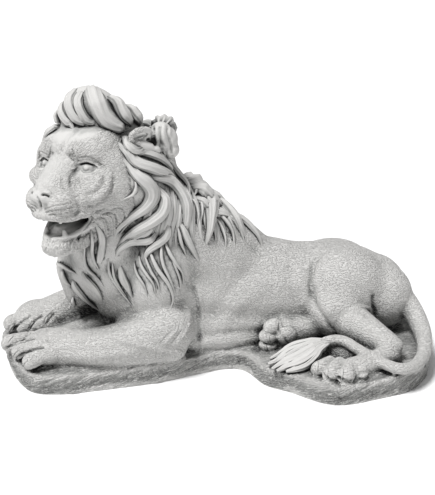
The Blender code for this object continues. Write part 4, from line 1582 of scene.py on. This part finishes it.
def make_stage():
    """Pale floor, soft overhead and side light, and the camera at the photograph's angle."""
    clay = bmesh.new()
    bmesh.ops.create_grid(clay, x_segments=1, y_segments=1, size=FLOOR_HALF)
    floor = empty_piece("floor")
    clay.to_mesh(floor.data)
    clay.free()
    # painted studio floor, matt and nearly white
    pale = bpy.data.materials.new("pale_floor")
    pale.use_nodes = True
    shader = pale.node_tree.nodes["Principled BSDF"]
    shader.inputs["Base Color"].default_value = linear("#F6F6F6")
    shader.inputs["Roughness"].default_value = 0.9
    floor.data.materials.append(pale)

    world = bpy.data.worlds.new("studio")
    bpy.context.scene.world = world
    world.use_nodes = True
    sky = world.node_tree.nodes["Background"]
    sky.inputs[0].default_value = (1, 1, 1, 1)
    sky.inputs[1].default_value = ROOM_LIGHT
    # greys as measured, with no film curve
    bpy.context.scene.view_settings.view_transform = "Standard"

    for name, place, strength, spread in LAMPS:
        lamp = bpy.data.lights.new(name, "SUN")
        lamp.energy = strength
        lamp.angle = math.radians(spread)
        holder = bpy.data.objects.new(name, lamp)
        holder.location = place
        holder.rotation_euler = (-Vector(place)).to_track_quat("-Z", "Y").to_euler()
        bpy.context.scene.collection.objects.link(holder)

    back = show_back()
    camera = bpy.data.cameras.new("camera")
    camera.sensor_width = FILM_WIDTH
    camera.lens = FILM_WIDTH * SHOW_DISTANCE / (SHEET_TALL * SHEET_UNIT)
    camera.clip_end = 100
    holder = bpy.data.objects.new("camera", camera)
    holder.location = at(*(Vector(SHOW_CENTRE) + back * SHOW_DISTANCE))
    holder.rotation_euler = (-back).to_track_quat("-Z", "Y").to_euler()
    bpy.context.scene.collection.objects.link(holder)
    bpy.context.scene.camera = holder


# The add-on


class LionLook(bpy.types.PropertyGroup):
    eye: bpy.props.FloatProperty(
        name="Eyeball", description="Width of an eyeball",
        default=29 * MM, min=20 * MM, max=36 * MM, unit="LENGTH")
    claw: bpy.props.FloatProperty(
        name="Claw", description="Width of a claw", default=4.6 * MM, min=2 * MM, max=9 * MM, unit="LENGTH")
    # pale colour of worn patches and of painted highlights
    worn_lit: bpy.props.FloatVectorProperty(
        name="Worn and lit", description="Colour where the stone is rubbed pale, and of painted highlights",
        default=linear(WORN_LIT)[:3], size=3, min=0, max=1, subtype="COLOR")
    stone: bpy.props.FloatVectorProperty(
        name="Stone", description="Colour of the sound stone",
        default=linear(STONE)[:3], size=3, min=0, max=1, subtype="COLOR")
    # dark colour of the painted shade, and of dust
    dusty_shade: bpy.props.FloatVectorProperty(
        name="Dusty shade", description="Colour of the painted shade, and of dust",
        default=linear(DUSTY_SHADE)[:3], size=3, min=0, max=1, subtype="COLOR")
    grain: bpy.props.FloatProperty(
        name="Grain", description="Strength of the stone's fine grit",
        default=0.35, min=0, max=1, subtype="FACTOR")
    around: bpy.props.IntProperty(
        name="Lock sides", description="Faces round one lock", default=28, min=12, max=48)
    strands: bpy.props.IntProperty(
        name="Strands", description="Strand grooves round one lock", default=8, min=0, max=15)
    groove: bpy.props.FloatProperty(
        name="Groove", description="Depth of a strand groove as a share of the lock's half width",
        default=0.15, min=0, max=0.3)
    thickness: bpy.props.FloatProperty(
        name="Lock thickness", description="A lock's height as a share of its width",
        default=0.8, min=0.3, max=1.5)


class LION_OT_body(bpy.types.Operator):
    """Body, legs, tail and rock base"""
    bl_idname = "lion.body"
    bl_label = "Body and base"

    def execute(self, context):
        make_body(context.scene.lion_look)
        return {"FINISHED"}


class LION_OT_head(bpy.types.Operator):
    """Head with its face and crest"""
    bl_idname = "lion.head"
    bl_label = "Head"

    def execute(self, context):
        make_head(context.scene.lion_look)
        return {"FINISHED"}


class LION_OT_locks(bpy.types.Operator):
    """Locks of the mane and the tail's tuft"""
    bl_idname = "lion.locks"
    bl_label = "Locks"

    def execute(self, context):
        look = context.scene.lion_look
        skin = skin_of(bpy.data.objects["lion_body"], bpy.data.objects["lion_head"])
        sizes = {"Around": look.around, "Strands": float(look.strands), "Groove": look.groove,
                 "Thickness": look.thickness}
        material = cast_stone("cast_stone_hair", "hair", look)
        broad, thin = lock_rails(skin)
        make_locks("mane_locks", broad, sizes, material)
        make_locks("tail_tuft", tuft_rails(), sizes, material)
        sizes.update({"Around": look.around // 2, "Strands": 2.0, "Thickness": look.thickness * 1.7})
        make_locks("mane_strands", thin, sizes, material)
        sizes.update({"Groove": 0.0, "Thickness": look.thickness})
        make_locks("claws", claw_rails(skin, look.claw / 2), sizes, material)
        return {"FINISHED"}


class LION_OT_occlusion_shade(bpy.types.Operator):
    """Works out the painted shade of occlusion: how much of the sky the stone close by hides"""
    bl_idname = "lion.dust"
    bl_label = "Occlusion shade"

    def execute(self, context):
        names = ("lion_body", "lion_head", "mane_locks", "mane_strands", "tail_tuft", "claws")
        pieces = [bpy.data.objects[name] for name in names if name in bpy.data.objects]
        whole = skin_of(*pieces)
        for piece in pieces:
            # painted shade: the share of the sky hidden by stone close by
            paint(piece, "occlusion_shade", occlusion_shade(piece, whole))
        return {"FINISHED"}


class LION_OT_stage(bpy.types.Operator):
    """Floor, lights and camera"""
    bl_idname = "lion.stage"
    bl_label = "Stage"

    def execute(self, context):
        make_stage()
        return {"FINISHED"}


class LION_PT_panel(bpy.types.Panel):
    bl_label = "Cast stone lion"
    bl_idname = "LION_PT_panel"
    bl_space_type = "VIEW_3D"
    bl_region_type = "UI"
    bl_category = "Lion"

    def draw(self, context):
        look = context.scene.lion_look
        for name in ("eye", "claw", "worn_lit", "stone", "dusty_shade", "grain",
                     "around", "strands", "groove", "thickness"):
            self.layout.prop(look, name)
        for name in ("body", "head", "locks", "dust", "stage"):
            self.layout.operator("lion." + name)


CLASSES = (LionLook, LION_OT_body, LION_OT_head, LION_OT_locks, LION_OT_occlusion_shade, LION_OT_stage, LION_PT_panel)


def register():
    for item in CLASSES:
        bpy.utils.register_class(item)
    bpy.types.Scene.lion_look = bpy.props.PointerProperty(type=LionLook)


def unregister():
    del bpy.types.Scene.lion_look
    for item in reversed(CLASSES):
        bpy.utils.unregister_class(item)


def main():
    register()
    bpy.ops.lion.body()
    bpy.ops.lion.head()
    bpy.ops.lion.locks()
    bpy.ops.lion.dust()
    bpy.ops.lion.stage()


if __name__ == "__main__":
    main()
